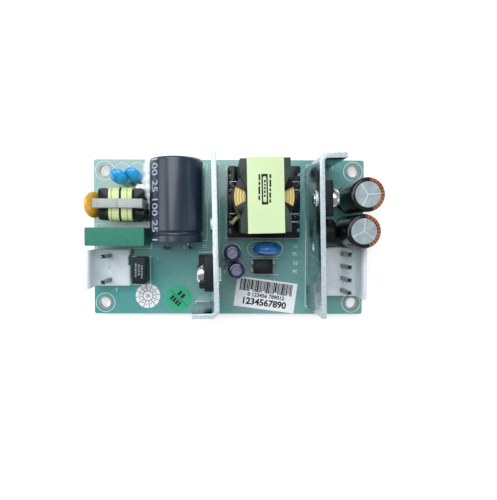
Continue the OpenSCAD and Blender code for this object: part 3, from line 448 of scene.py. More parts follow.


# The mask's grey second tone, 7fa6a2, is painted reflection.
MASK = MaskFinish("solder_mask", "409b99", "7fa6a2", 0.28, grain=2600.0, relief=0.05,
                  depth=0.02, coat=0.9)
COVERED_TRACK = Finish("covered_track", "3f9d7a", "35906e", 0.34, grain=2600.0, relief=0.05,
                       coat=0.4)
SCREEN_INK = Finish("screen_ink", "e6efee", "d6e2e0", 0.6, grain=6000.0)
BARE_PAD = Finish("tinned_pad", "98a6a6", "7e8b8c", 0.45, 0.4, grain=3000.0, relief=0.2)
SOLDER = Finish("solder", "c4c9cc", "9ea6aa", 0.24, 1.0, grain=1800.0, relief=0.25)
NYLON = Finish("natural_nylon", "eaf6fa", "e0eefa", 0.42, grain=1200.0, relief=0.05,
               milk=0.6)
TINNED = Finish("tinned_wire", "b9bfc2", "8d9598", 0.28, 1.0, grain=2500.0, relief=0.1)
PIN_METAL = Finish("header_pin", "7c8587", "4d5557", 0.25, 1.0, grain=2500.0, relief=0.1)
BLACK_MOULD = Finish("black_moulding", "141b1f", "1c2428", 0.42, grain=5200.0, relief=0.12,
                     shine=0.2)
BLACK_GLOSS = Finish("glossy_black_moulding", "10171a", "182023", 0.22, grain=4200.0,
                     relief=0.05, shine=0.25)
CASE_GREEN = Finish("green_case", "358671", "2f7d68", 0.5, grain=4500.0, relief=0.15,
                    shine=0.3)
YELLOW_DIP = Finish("yellow_dip", "f2c04a", "e2a42c", 0.2, grain=900.0, relief=0.12,
                    depth=0.2, coat=0.6)
BLUE_DIP = Finish("blue_dip", "22b2f2", "149ee4", 0.16, grain=700.0, relief=0.15, depth=0.25,
                  coat=0.8)
DEEP_BLUE_DIP = Finish("deep_blue_dip", "1a78cc", "1166b8", 0.18, grain=700.0, relief=0.15,
                       depth=0.25, coat=0.8)
PALE_FERRITE = Finish("ground_ferrite", "b4bebb", "a6b0ad", 0.5, grain=4000.0, relief=0.15)
DARK_FERRITE = Finish("dark_ferrite", "3f4b46", "2e3935", 0.5, grain=3600.0, relief=0.2,
                      shine=0.3)
CORE_TAPE = Finish("core_tape", "daf0bf", "d1e9b3", 0.3, grain=500.0, relief=0.12,
                   depth=0.15, coat=0.2, shine=0.3)
COPPER_TURNS = LayeredFinish("copper_turns", "f4e796", "e6c964", 0.25, grain=900.0,
                             relief=0.4, depth=0.2, coat=0.3, pitch=0.8, line="a8742c",
                             line_share=0.3, middle=TRANSFORMER_PLACE)
CHOKE_TAPE = LayeredFinish("choke_tape", "e2f0b4", "cfe08c", 0.3, grain=800.0, relief=0.3,
                           coat=0.3, pitch=2.4, along="X", line="9aa864", line_share=0.1)
ALUMINIUM = Finish("drawn_aluminium", "b9c8cd", "93a4aa", 0.38, 0.35, grain=3500.0,
                   relief=0.2)
LILAC_ALUMINIUM = Finish("dull_aluminium", "8c92a8", "5b5a66", 0.35, 0.3, grain=9000.0,
                         relief=0.25)
SCORE_LINE = Finish("scored_line", "dfe8ea", "c8d4d8", 0.4, 0.2, grain=3500.0)
NAVY_SLEEVE = Finish("navy_sleeve", "18293a", "1e3246", 0.3, grain=400.0, relief=0.08,
                     depth=0.2, coat=0.15, shine=0.6, unevenness=0.05)
BLACK_SLEEVE = BandFinish("black_sleeve", "100f10", "181617", 0.2, grain=500.0, relief=0.06,
                          depth=0.2, coat=0.4, shine=0.3)
BLUE_SLEEVE = Finish("blue_sleeve", "151a4a", "1d2460", 0.2, grain=500.0, relief=0.06,
                     depth=0.2, coat=0.6)
RUBBER = Finish("rubber", "1c1c1c", "262626", 0.8, grain=3000.0, relief=0.2)
SILICONE = Finish("silicone", "f6f9f9", "e9f1f4", 0.2, grain=350.0, relief=0.2, depth=0.4,
                  coat=0.4)
SHEET = SheetFinish("brushed_sheet", "b4c0c6", "9caab1", 0.24, 1.0, grain=1800.0,
                    stretch=(1.0, 1.0, 0.08), relief=0.1, depth=0.03, unevenness=0.07)
ZINC = Finish("zinc_plate", "e6e9e6", "cdd2d1", 0.2, 1.0, grain=2500.0, relief=0.08)
SHRINK = Finish("shrink_tube", "14181a", "1c2124", 0.3, grain=900.0, relief=0.15, shine=0.3)
PAPER = Finish("paper", "f2f7fa", "eaf0f4", 0.6, grain=5000.0, relief=0.06, shine=0.3)
BLACK_INK = Finish("black_ink", "14191d", "1e242a", 0.6, grain=5000.0, shine=0.2)
GREY_INK = Finish("grey_ink", "7d8a94", "8b98a2", 0.6, grain=5000.0, shine=0.2)
WHEEL_INK = Finish("wheel_ink", "3c474d", "4c585e", 0.6, grain=5000.0, shine=0.2)
PALE_INK = Finish("pale_ink", "c3cdea", "b3bddc", 0.5, grain=5000.0)
GREEN_FOIL = Finish("green_foil", "2eb083", "28a578", 0.35, grain=1500.0, coat=0.2)
CHIP_CERAMIC = Finish("chip_ceramic", "9c7146", "8a623b", 0.55, grain=3000.0)
CHIP_BLACK = Finish("chip_black", "1a1b1d", "242527", 0.5, grain=3500.0, shine=0.3)


# --- Workbench ---------------------------------------------------------------


class Bench:
    """Modelling steps that the pieces share."""

    @staticmethod
    def clear() -> None:
        """Leave edit mode and deselect everything."""
        if bpy.context.object is not None and bpy.context.object.mode != "OBJECT":
            bpy.ops.object.mode_set(mode="OBJECT")
        bpy.ops.object.select_all(action="DESELECT")

    @staticmethod
    def only(piece: Piece) -> None:
        """Select one piece and make it active.

        Args:
            piece: The piece.
        """
        Bench.clear()
        piece.select_set(True)
        bpy.context.view_layer.objects.active = piece

    @staticmethod
    def place(piece: Piece) -> Piece:
        """Apply a piece's place to its mesh.

        Args:
            piece: The piece.

        Returns:
            The piece.
        """
        Bench.only(piece)
        bpy.ops.object.transform_apply(location=True, rotation=True, scale=True)
        return piece

    @staticmethod
    def named(name: str) -> Piece:
        """Name the active object and apply its place to its mesh.

        Args:
            name: Name of the piece.

        Returns:
            The piece.
        """
        piece = bpy.context.object
        piece.name = name
        piece.data.name = name
        return Bench.place(piece)

    @staticmethod
    def apply(piece: Piece, kind: str, settings: dict[str, object]) -> Piece:
        """Add a modifier to a piece and apply it.

        Args:
            piece: The piece.
            kind: Kind of the modifier, by its type name.
            settings: Its settings by name.

        Returns:
            The piece.
        """
        Bench.only(piece)
        bpy.ops.object.modifier_add(type=kind)
        step = piece.modifiers[-1]
        for key, value in settings.items():
            setattr(step, key, value)
        bpy.ops.object.modifier_apply(modifier=step.name)
        return piece

    @staticmethod
    def wire(name: str, points: Sequence[Sequence[float]], radius: float) -> Piece:
        """Bend a round wire through points.

        Args:
            name: Name of the piece.
            points: Places that it runs through, in millimetres.
            radius: Its radius, in millimetres.

        Returns:
            The new piece.
        """
        Bench.clear()
        bpy.ops.curve.primitive_bezier_curve_add()
        curve = bpy.context.object
        line = curve.data.splines[0].bezier_points
        line.add(len(points) - len(line))
        for knot, point in zip(line, points):
            knot.co = [v * MM for v in point]
            knot.handle_left_type = knot.handle_right_type = "AUTO"
        curve.data.bevel_depth = radius * MM
        curve.data.bevel_resolution = 3
        curve.data.resolution_u = 8
        curve.data.use_fill_caps = True
        bpy.ops.object.convert(target="MESH")
        return Bench.named(name)

    @staticmethod
    def skin(piece: Piece, voxel: float, factor: float, rounds: int) -> Piece:
        """Melt the joined lumps of a piece into one smooth skin.

        Args:
            piece: The piece.
            voxel: Size of the new faces, in millimetres.
            factor: Strength of a round of smoothing.
            rounds: Number of rounds of smoothing.

        Returns:
            The piece.
        """
        Bench.apply(piece, "REMESH", {"mode": "VOXEL", "voxel_size": voxel * MM})
        return Bench.apply(piece, "SMOOTH", {"factor": factor, "iterations": rounds})

    @staticmethod
    def edit(piece: Piece) -> bmesh.types.BMesh:
        """Open a piece in edit mode, on its corners, with nothing selected.

        Args:
            piece: The piece to open.

        Returns:
            Its mesh.
        """
        Bench.only(piece)
        bpy.ops.object.mode_set(mode="EDIT")
        bpy.ops.mesh.select_mode(type="VERT")
        bpy.ops.mesh.select_all(action="DESELECT")
        return bmesh.from_edit_mesh(piece.data)

    @staticmethod
    def soften(piece: Piece, width: float, steps: int = 2) -> Piece:
        """Round the sharp edges of a piece.

        Args:
            piece: The piece.
            width: Width of the rounding, in millimetres.
            steps: Number of faces across it.

        Returns:
            The piece.
        """
        return Bench.apply(piece, "BEVEL", {
            "width": width * MM, "segments": steps, "limit_method": "ANGLE",
            "angle_limit": math.radians(SHARP_EDGE)})

    @staticmethod
    def join(name: str, pieces: Sequence[Piece]) -> Piece:
        """Join pieces into one.

        Args:
            name: Name of the joined piece.
            pieces: The pieces, of which the first takes in the others.

        Returns:
            The joined piece.
        """
        Bench.clear()
        for piece in pieces:
            piece.select_set(True)
        bpy.context.view_layer.objects.active = pieces[0]
        bpy.ops.object.join()
        return Bench.named(name)

    @staticmethod
    def shade(piece: Piece, shading: Shading) -> None:
        """Shade a piece smooth up to an angle.

        Args:
            piece: The piece.
            shading: How it is shaded.
        """
        Bench.only(piece)
        if shading is Shading.FLAT:
            bpy.ops.object.shade_flat()
        elif shading is Shading.SMOOTH:
            bpy.ops.object.shade_smooth()
        else:
            bpy.ops.object.shade_smooth_by_angle(angle=math.radians(shading.value))

    @staticmethod
    def coat(piece: Piece, finish: Finish) -> None:
        """Give a piece one finish."""
        piece.data.materials.clear()
        piece.data.materials.append(finish.made())

    @staticmethod
    def lettering(name: str, text: str, size: float, middle: Sequence[float], turn: float,
                  thickness: float = INK / 2, weight: float = 0.015) -> Piece:
        """Set a row of figures as a thin flat mesh.

        Args:
            name: Name of the piece.
            text: The figures.
            size: Height of the type, in millimetres.
            middle: Middle of the row, in millimetres.
            turn: Angle about Z, in degrees.
            thickness: Thickness of the ink, in millimetres.
            weight: Growth of every stroke, as a share of the height.

        Returns:
            The new piece.
        """
        Bench.clear()
        bpy.ops.object.text_add(location=[v * MM for v in middle],
                                rotation=(0, 0, math.radians(turn)))
        words = bpy.context.object
        words.data.body = text
        words.data.size = size * MM
        words.data.align_x = "CENTER"
        words.data.align_y = "CENTER"
        words.data.extrude = thickness * MM
        words.data.offset = weight * size * MM
        words.data.resolution_u = 3
        bpy.ops.object.convert(target="MESH")
        return Bench.named(name)


class Model:
    """The dressed model: what is built is handed to it, and it rides on the body."""

    def __init__(self) -> None:
        """Start with no pieces."""
        self.count = 0

    def add(self, piece: Piece, finish: Finish, shading: Shading, slot: str,
            replaces: Iterable[str] = ()) -> None:
        """Finish a piece and let it ride on the body.

        Args:
            piece: The new piece.
            finish: Its finish.
            shading: How it is shaded.
            slot: Not used.
            replaces: CAD nodes that it stands for.
        """
        Bench.coat(piece, finish)
        Bench.shade(piece, shading)
        Bench.clear()
        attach(piece, BODY)
        if replaces:
            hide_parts(*replaces)
        self.count += 1
        log.info("piece %-26s %6d faces", piece.name, len(piece.data.polygons))

    def dress(self, finish: Finish, *nodes: str) -> None:
        """Give CAD nodes a finish.

        Args:
            finish: The finish.
            nodes: Names of the nodes.
        """
        for node in nodes:
            Bench.coat(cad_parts[node], finish)

    @staticmethod
    def copy(node: str, name: str) -> Piece:
        """Copy a CAD node as one clean mesh whose flat faces are whole.

        Args:
            node: Name of the node.
            name: Name of the copy.

        Returns:
            The copy.
        """
        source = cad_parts[node]
        piece = bpy.data.objects.new(name, source.data.copy())
        bpy.context.scene.collection.objects.link(piece)
        if piece.data.has_custom_normals:
            Bench.only(piece)
            bpy.ops.mesh.customdata_custom_splitnormals_clear()
        Bench.edit(piece)
        bpy.ops.mesh.select_all(action="SELECT")
        bpy.ops.mesh.remove_doubles(threshold=SAME_PLACE)
        bpy.ops.mesh.dissolve_limited(angle_limit=math.radians(LEVEL_EDGE))
        Bench.clear()
        return piece

    def refine(self, node: str, finish: Finish, width: float, steps: int, slot: str) -> None:
        """Replace a CAD node by its copy with rounded edges.

        Args:
            node: Name of the node.
            finish: Finish of the copy.
            width: Width of the rounding, in millimetres.
            steps: Number of faces across it.
            slot: Handed on to add, where it is not used.
        """
        piece = Bench.soften(self.copy(node, node + "_shell"), width, steps)
        self.add(piece, finish, Shading.ROUND, slot, [node])


class InkSheet:
    """Flat printed marks, drawn one by one into a single thin mesh."""

    LEVELS = 12
    LIFT = 0.0006

    def __init__(self, name: str, height: float) -> None:
        """Open an empty sheet.

        Args:
            name: Name of the piece.
            height: Height of the printed surface, in millimetres.
        """
        self.height = height
        self.strokes = 0
        Bench.clear()
        bpy.ops.mesh.primitive_plane_add(size=MM, location=(0, 0, height * MM))
        self.piece = Bench.named(name)
        bpy.ops.object.mode_set(mode="EDIT")
        bpy.ops.mesh.select_all(action="SELECT")
        bpy.ops.mesh.delete(type="VERT")

    def bar(self, x: float, y: float, length: float, width: float, turn: float = 0.0) -> None:
        """Print a filled bar about its middle, a hair off its neighbours' level.

        Args:
            x: Middle along X, in millimetres.
            y: Middle along Y, in millimetres.
            length: Size along its own X.
            width: Size along its own Y.
            turn: Angle about Z, in degrees.
        """
        self.strokes += 1
        lift = self.strokes % self.LEVELS * self.LIFT
        middle = (x * MM, y * MM, (self.height + lift) * MM)
        bpy.ops.mesh.primitive_plane_add(size=MM, location=middle)
        bpy.ops.transform.resize(value=(length, width, 1), center_override=middle)
        bpy.ops.transform.rotate(value=-math.radians(turn), orient_axis="Z",
                                 center_override=middle)

    def line(self, start: Point, end: Point, width: float) -> None:
        """Print a straight stroke.

        Args:
            start: Where it starts, in millimetres.
            end: Where it ends.
            width: Its width.
        """
        across, along = end[0] - start[0], end[1] - start[1]
        self.bar((start[0] + end[0]) / 2, (start[1] + end[1]) / 2,
                 math.hypot(across, along) + width, width,
                 math.degrees(math.atan2(along, across)))

    def path(self, points: Sequence[Point], width: float) -> None:
        """Print straight strokes from point to point."""
        for start, end in zip(points, points[1:]):
            self.line(start, end, width)

    def rectangle(self, low: Point, high: Point, width: float) -> None:
        """Print the outline of a rectangle between two corners."""
        self.path([low, (high[0], low[1]), high, (low[0], high[1]), low], width)

    def ring(self, x: float, y: float, radius: float, width: float, sides: int = 64) -> None:
        """Print a ring.

        Args:
            x: Middle along X, in millimetres.
            y: Middle along Y, in millimetres.
            radius: Outer radius.
            width: Width of the line.
            sides: Number of its parts.
        """
        middle = (x * MM, y * MM, self.height * MM)
        bpy.ops.mesh.primitive_circle_add(vertices=sides, radius=radius * MM,
                                          fill_type="NOTHING", location=middle)
        bpy.ops.mesh.extrude_edges_move(TRANSFORM_OT_translate={"value": (0, 0, 0)})
        share = (radius - width) / radius
        bpy.ops.transform.resize(value=(share, share, 1), center_override=middle)

    def capsule(self, middle: Point, reach: float, radius: float, width: float,
                steps: int = 12) -> None:
        """Print an outline with two straight sides and two round ends.

        Args:
            middle: Its middle, in millimetres.
            reach: Half its length along X.
            radius: Half its height.
            width: Width of the line.
            steps: Number of strokes in each round end.
        """
        inner = reach - radius
        for side, start in ((-1, 90), (1, -90)):
            level = middle[1] + side * radius
            self.line((middle[0] - inner, level), (middle[0] + inner, level), width)
            end = (middle[0] + side * inner, middle[1])
            self.path([around(end, radius, 0, start + 180 * i / steps)
                       for i in range(steps + 1)], width)

    def printed(self, thickness: float = INK) -> Piece:
        """Give the marks their thickness.

        Args:
            thickness: Thickness of the ink, in millimetres.

        Returns:
            The printed piece.
        """
        bpy.ops.mesh.select_all(action="SELECT")
        bpy.ops.mesh.normals_make_consistent(inside=False)
        bpy.ops.mesh.extrude_region_move(
            TRANSFORM_OT_translate={"value": (0, 0, thickness * MM)})
        bpy.ops.mesh.select_all(action="SELECT")
        bpy.ops.mesh.normals_make_consistent(inside=False)
        Bench.clear()
        return Bench.place(self.piece)


# --- Sub-assemblies ----------------------------------------------------------


@dataclass
class CircuitBoard:
    """Bare board: solder mask, printed marks, plated rings and the copper below."""

    model: Model
    hole_x: float = 40.9
    hole_y: float = 21.8
    ring_radius: float = 3.2
    pad_radius: float = 2.4
    pad_thickness: float = 0.04
    hole_radius: float = 1.75
    stroke: float = 0.2
    figure_size: float = 1.5
    wide_track: float = 2.0
    narrow_track: float = 0.6
    copper: float = 0.035

    def build(self) -> None:
        """Dress the board and print both sides."""
        self.model.dress(MASK, "circuit_board")
        self.model.dress(SOLDER, "solder_joints")
        self.model.dress(CHIP_BLACK, "bridge_rectifier", "controller_chip", "chip_resistors")
        self.model.dress(CHIP_CERAMIC, "chip_capacitors")
        self.print_outlines()
        self.print_figures()
        self.plate_rings()
        self.lay_tracks()

    def corners(self) -> list[Point]:
        """Return the places of the four mounting holes."""
        return [(x * self.hole_x, y * self.hole_y) for x in (-1, 1) for y in (-1, 1)]

    def print_outlines(self) -> None:
        """Print the white outlines of the parts on the top side."""
        ink = InkSheet("board_outlines", BOARD_TOP)
        for x, y, radius in (
            *((x, y, self.ring_radius) for x, y in self.corners()),
            (-35.1, 21.45, 2.95), (-30.3, 21.75, 2.85), (0.95, -4.88, 3.1), (2.2, -10.13, 3.1),
        ):
            ink.ring(x, y, radius, self.stroke)
        for low, high in (
            ((-43.9, -3.78), (-25.5, 4.25)),
            ((-32.7, -15.8), (-25.9, -6.5)),
            ((-25.3, -1.1), (-7.2, 24.0)),
            ((-5.3, -23.4), (-3.1, 24.1)),
            ((-0.85, -0.32), (23.0, 23.2)),
            ((25.55, -22.95), (27.3, 24.0)),
        ):
            ink.rectangle(low, high, self.stroke)
        for points in (
            [(-10.93, -22.2), (-10.93, -21.35), (-6.2, -21.35)],
            [(-9.9, -5.0), (-5.4, -5.0)],
            [(28.0, 23.65), (34.15, 23.65), (34.15, 22.5)],
            [(16.5, -7.03), (8.1, -7.03), (8.1, -12.4), (16.5, -12.4)],
        ):
            ink.path(points, self.stroke)
        ink.capsule((12.1, -3.8), 5.9, 2.5, self.stroke)
        self.model.add(ink.printed(2 * INK), SCREEN_INK, Shading.FLAT, "board")

    def print_figures(self) -> None:
        """Print plain position numbers beside the parts."""
        rows = (("1", -23.6, -7.2), ("12", -7.9, -3.0), ("4", -20.3, -3.3), ("5", -14.8, -3.3),
                ("21", 22.0, -2.9), ("22", 21.9, -5.4), ("23", 22.2, -8.5), ("24", 22.1, -11.2),
                ("7", -1.3, -8.4), ("8", -1.3, -11.4), ("3", -37.2, -17.4), ("9", 29.4, 21.6))
        figures = [Bench.lettering(f"figure_{i}", text, self.figure_size,
                                   (x, y, BOARD_TOP), 180, INK)
                   for i, (text, x, y) in enumerate(rows)]
        self.model.add(Bench.join("board_figures", figures), SCREEN_INK, Shading.FLAT, "board")

    def plate_rings(self) -> None:
        """Lay a tinned ring around each mounting hole, on both sides."""
        rings = []
        for side, height in (("top", BOARD_TOP), ("below", -self.pad_thickness)):
            ink = InkSheet(f"hole_pads_{side}", height)
            for x, y in self.corners():
                ink.ring(x, y, self.pad_radius, self.pad_radius - self.hole_radius)
            rings.append(ink.printed(self.pad_thickness))
        self.model.add(Bench.join("hole_pads", rings), BARE_PAD, Shading.FLAT, "solder")

    def lay_tracks(self) -> None:
        """Lay the copper tracks under the mask of the lower side."""
        ink = InkSheet("covered_tracks", -self.copper)
        wide = (
            [(-38.65, -13.9), (-34.0, -17.0), (-28.35, -13.1)],
            [(-28.35, -8.0), (-27.4, -3.0), (-27.4, 0.17), (-27.8, 6.4)],
            [(-38.65, -5.98), (-42.4, -2.0), (-42.4, 7.7), (-38.9, 6.4)],
            [(-42.4, 12.7), (-38.9, 13.97), (-36.4, 19.4)],
            [(-27.8, 13.97), (-26.9, 18.3), (-24.0, 12.0), (-23.2, -7.0)],
            [(-20.2, -3.6), (-19.0, -8.0)],
            [(-12.7, -3.6), (-11.0, 2.0), (-2.0, 2.6), (0.6, 5.0)],
            [(-7.3, -7.9), (-7.3, -2.5), (-1.5, 0.6), (0.6, 2.5)],
            [(-7.3, -13.0), (-11.5, -16.5), (-17.0, -15.0)],
            [(21.6, 15.2), (24.2, 17.5), (29.5, 14.2)],
            [(29.5, 8.4), (33.6, 10.5), (37.6, 12.8)],
            [(42.6, 12.8), (43.0, 6.0), (41.6, 2.05), (41.0, -7.0), (36.95, -9.1)],
            [(28.65, 1.7), (29.5, 5.5), (29.5, 8.4)],
            [(32.65, 1.7), (36.6, 2.05), (34.0, -5.0), (36.95, -5.1)],
            [(21.6, 7.6), (24.4, 2.0), (24.2, -16.0), (36.95, -17.0), (36.95, -13.0)],
        )
        narrow = (
            [(2.2, -10.1), (2.3, -13.6)], [(0.95, -4.9), (-0.6, -9.0), (0.3, -13.6)],
            [(7.3, -8.2), (5.8, -11.5), (3.6, -13.6)], [(14.9, -8.2), (18.0, -9.0), (19.4, -12.7)],
            [(14.9, -10.7), (17.2, -12.0), (19.4, -15.1)], [(22.4, -17.5), (22.4, -8.7)],
            [(7.3, -19.5), (4.2, -19.4)], [(7.3, -12.9), (5.6, -12.4), (4.2, -13.6)],
            [(-34.9, -2.0), (-34.9, 2.4)], [(-7.3, -10.5), (-3.0, -12.5), (-1.4, -12.9)],
        )
        for width, routes in ((self.wide_track, wide), (self.narrow_track, narrow)):
            for route in routes:
                ink.path(route, width)
        self.model.add(ink.printed(self.copper), COVERED_TRACK, Shading.FLAT, "board")


@dataclass
class Headers:
    """Inlet and outlet headers: nylon housings with their square pins."""

    model: Model
    edge: float = 0.12

    def build(self) -> None:
        """Round the housings' edges and dress the pins."""
        for node in ("inlet_housing", "outlet_housing"):
            self.model.refine(node, NYLON, self.edge, 2, "nylon")
        self.model.dress(PIN_METAL, "inlet_pins", "outlet_pins")


@dataclass
class LineFilter:
    """Fuse, varistor, film capacitor, choke and the two disc capacitors at the inlet."""

    model: Model
    disc_turn: float = -24.0
    disc_lean: float = -32.0
    mark_start: float = 2.3
    mark_stagger: float = 0.3
    mark_gap: float = 0.22
    mark_width: float = 0.5
    row_step: float = 0.95

    def build(self) -> None:
        """Build every part of the filter."""
        for node, finish, edge, steps, slot in (
            ("fuse_body", BLACK_MOULD, 0.2, 3, "black_plastic"),
            ("film_capacitor_case", CASE_GREEN, 0.3, 3, "green_case"),
            ("filter_choke_core", PALE_FERRITE, 0.15, 2, "ferrite"),
            ("filter_choke_bobbin", BLACK_GLOSS, 0.12, 2, "black_plastic"),
        ):
            self.model.refine(node, finish, edge, steps, slot)
        self.model.dress(CHOKE_TAPE, "filter_choke_windings")
        self.model.dress(TINNED, "fuse_leads", "varistor_leads", "film_capacitor_leads",
                         "filter_choke_pins", "disc_capacitor_leads")
        DippedDisc(self.model, "varistor_body", "varistor_disc", YELLOW_DIP, "yellow_epoxy",
                   turn=90.0, thickness=3.4, lean=-24.0, shift=(-0.35, 0.0, 0.0)).build()
        for side, thickness, shift in (("left", 3.5, (-0.9, 0.7, 0.3)),
                                       ("right", 3.3, (-1.2, 0.6, 0.5))):
            DippedDisc(self.model, side + "_disc_body", side + "_disc_capacitor", BLUE_DIP,
                       "blue_epoxy", self.disc_turn, thickness, lean=self.disc_lean,
                       shift=shift).build()
        self.mark_fuse()

    def mark_fuse(self) -> None:
        """Print short plain bars on the top of the fuse."""
        low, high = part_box("fuse_body")
        middle = (low + high) / 2 / MM
        ink = InkSheet("fuse_marks", high.z / MM)
        for row, lengths in enumerate(((0.7, 0.5, 0.9, 0.6, 0.7), (0.9, 0.4, 0.7, 0.8),
                                       (0.5, 0.8, 0.5, 0.9, 0.5))):
            x = middle.x + (row - 1) * self.row_step
            y = middle.y + self.mark_start - row * self.mark_stagger
            for length in lengths:
                ink.bar(x, y - length / 2, self.mark_width, length)
                y -= length + self.mark_gap
        self.model.add(ink.printed(), GREY_INK, Shading.FLAT, "black_plastic")


@dataclass
class DippedDisc:
    """Disc capacitor or varistor, dipped in resin that runs down its leads."""

    model: Model
    name: str
    node: str
    finish: Finish
    slot: str
    turn: float
    thickness: float
    pitch: float = 5.0
    lean: float = 0.0
    shift: Triple = (0.0, 0.0, 0.0)
    skirt_rise: float = 0.9
    skirt_radii: Triple = (0.62, 0.62, 1.5)
    voxel: float = 0.16
    smoothing: float = 0.5
    rounds: int = 12

    def build(self) -> None:
        """Model the resin body in the place of its CAD node."""
        low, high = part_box(self.node)
        middle = (low + high) / 2 / MM
        radius = (high.z - low.z) / 2 / MM
        parts = [self.ball(middle + Vector(self.shift), (radius, self.thickness / 2, radius),
                           self.lean)]
        for side in (-1, 1):
            foot = around((middle.x, middle.y), side * self.pitch / 2, 0, self.turn)
            parts.append(self.ball((*foot, low.z / MM + self.skirt_rise), self.skirt_radii))
        piece = Bench.skin(Bench.join(self.name, parts), self.voxel, self.smoothing, self.rounds)
        self.model.add(piece, self.finish, Shading.SMOOTH, self.slot, [self.node])

    def ball(self, middle: Sequence[float], radii: Triple, lean: float = 0.0) -> Piece:
        """Add an egg shape that is turned as the disc is.

        Args:
            middle: Its middle, in millimetres.
            radii: Its half sizes, in millimetres.
            lean: Its tilt out of the upright, in degrees.

        Returns:
            The new piece.
        """
        Bench.clear()
        bpy.ops.mesh.primitive_uv_sphere_add(
            segments=32, ring_count=20, radius=1, location=[v * MM for v in middle],
            rotation=(math.radians(lean), 0, math.radians(self.turn)),
            scale=[r * MM for r in radii])
        return Bench.named("resin")


@dataclass
class BulkCapacitor:
    """Lying electrolytic capacitor with its sleeve, its printed row and its adhesive."""

    model: Model
    axis_x: float = -16.475
    axis_z: float = 9.925
    radius: float = 8.175
    row_turn: float = 47.0
    figure_size: float = 3.9
    figures: str = "100 25 100 25 1"
    cuts: int = 8
    cut_step: float = 0.25
    voxel: float = 0.3
    smoothing: float = 0.6
    rounds: int = 22

    def build(self) -> None:
        """Dress the capacitor, print its row and run the adhesive."""
        self.model.dress(NAVY_SLEEVE, "bulk_capacitor_sleeve")
        self.model.dress(ALUMINIUM, "bulk_capacitor_can")
        self.model.dress(RUBBER, "bulk_capacitor_bung")
        self.model.dress(PIN_METAL, "bulk_capacitor_leads")
        self.print_row()
        self.run_adhesive()

    def print_row(self) -> None:
        """Print a row of plain figures along the sleeve, bent to its roundness."""
        low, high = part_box("bulk_capacitor_sleeve")
        middle = (low + high) / 2 / MM
        words = Bench.lettering("bulk_capacitor_figures", self.figures, self.figure_size,
                                (0, 0, 0), -90, INK, 0.0)
        turn = math.radians(self.row_turn)
        Bench.edit(words)
        for step in range(-self.cuts, self.cuts + 1):
            bpy.ops.mesh.select_all(action="SELECT")
            bpy.ops.mesh.bisect(plane_co=(step * self.cut_step * MM, 0, 0),
                                plane_no=(1, 0, 0), threshold=1e-7)
        mesh = bmesh.from_edit_mesh(words.data)
        for corner in mesh.verts:
            angle = turn - corner.co.x / (self.radius * MM)
            reach = (self.radius + INK) * MM + corner.co.z
            corner.co = Vector((self.axis_x * MM - reach * math.sin(angle),
                                corner.co.y + middle.y * MM,
                                self.axis_z * MM + reach * math.cos(angle)))
        bmesh.update_edit_mesh(words.data)
        Bench.clear()
        self.model.add(words, PALE_INK, Shading.FLAT, "bulk_sleeve")

    def run_adhesive(self) -> None:
        """Model the white silicone between the capacitor and the line filter."""
        lumps = (
            (-25.3, 22.6, 4.2, 2.6), (-24.9, 23.2, 7.8, 1.9), (-26.4, 20.9, 4.6, 2.0),
            (-25.5, 20.2, 5.4, 2.6), (-25.2, 20.6, 8.6, 1.8), (-27.2, 19.6, 4.2, 1.8),
            (-25.4, 17.8, 5.6, 2.5), (-25.2, 17.8, 8.8, 1.8),
            (-26.8, 18.6, 5.2, 1.9), (-25.4, 15.4, 5.6, 2.2), (-25.2, 15.2, 8.8, 1.6),
            (-27.0, 15.4, 7.4, 1.5), (-28.4, 15.8, 8.2, 1.1), (-28.9, 14.9, 8.6, 0.9),
            (-27.9, 14.2, 8.6, 0.9), (-25.3, 13.2, 5.6, 1.9), (-25.1, 13.0, 8.4, 1.4),
            (-26.6, 13.6, 8.2, 1.0), (-25.2, 11.0, 5.2, 1.5), (-25.0, 11.0, 7.6, 1.2),
            (-25.1, 9.0, 4.6, 1.3), (-24.9, 9.0, 7.0, 1.0), (-25.0, 7.0, 4.2, 1.1),
            (-24.9, 7.0, 6.2, 0.9), (-24.9, 5.2, 3.8, 0.9), (-24.8, 3.9, 3.0, 0.7),
        )
        parts = []
        for x, y, z, radius in lumps:
            Bench.clear()
            bpy.ops.mesh.primitive_ico_sphere_add(
                subdivisions=3, radius=radius * MM, location=(x * MM, y * MM, z * MM))
            parts.append(Bench.named("lump"))
        piece = Bench.skin(Bench.join("silicone_run", parts), self.voxel, self.smoothing,
                           self.rounds)
        self.model.add(piece, SILICONE, Shading.SMOOTH, "silicone", ["silicone_bead"])


@dataclass
class PowerDevices:
    """The two punched heatsinks with the transistor, the rectifier and their screws."""

    model: Model
    sheet_edge: float = 0.12
    package_edge: float = 0.1
    screw_edge: float = 0.08
    tip_depth: float = 0.35

    def build(self) -> None:
        """Dress plates and packages and model the screws."""
        for node in ("primary_heatsink", "secondary_heatsink"):
            self.model.refine(node, SHEET, self.sheet_edge, 2, "sheet")
        for node in ("switch_transistor", "output_rectifier"):
            self.model.refine(node, BLACK_MOULD, self.package_edge, 2, "epoxy_mould")
        self.model.dress(TINNED, "switch_transistor_legs", "output_rectifier_legs")
        self.fit_screw("switch_transistor_screw", 1, 0.9)
        self.fit_screw("output_rectifier_screw", -1, 0.3)

    def fit_screw(self, node: str, side: int, trim: float) -> None:
        """Round a screw's edges and let its end stand out less.

        Args:
            node: CAD node of the screw.
            side: Direction of its end along X, 1 or -1.
            trim: How much shorter its shank is, in millimetres.
        """
        piece = self.model.copy(node, node + "_steel")
        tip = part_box(node)[max(side, 0)].x
        mesh = Bench.edit(piece)
        for corner in mesh.verts:
            corner.select_set(abs(corner.co.x - tip) < self.tip_depth * MM)
        bmesh.update_edit_mesh(piece.data)
        bpy.ops.transform.translate(value=(-side * trim * MM, 0, 0))
        Bench.clear()
        Bench.soften(piece, self.screw_edge)
        self.model.add(piece, ZINC, Shading.ROUND, "zinc", [node])


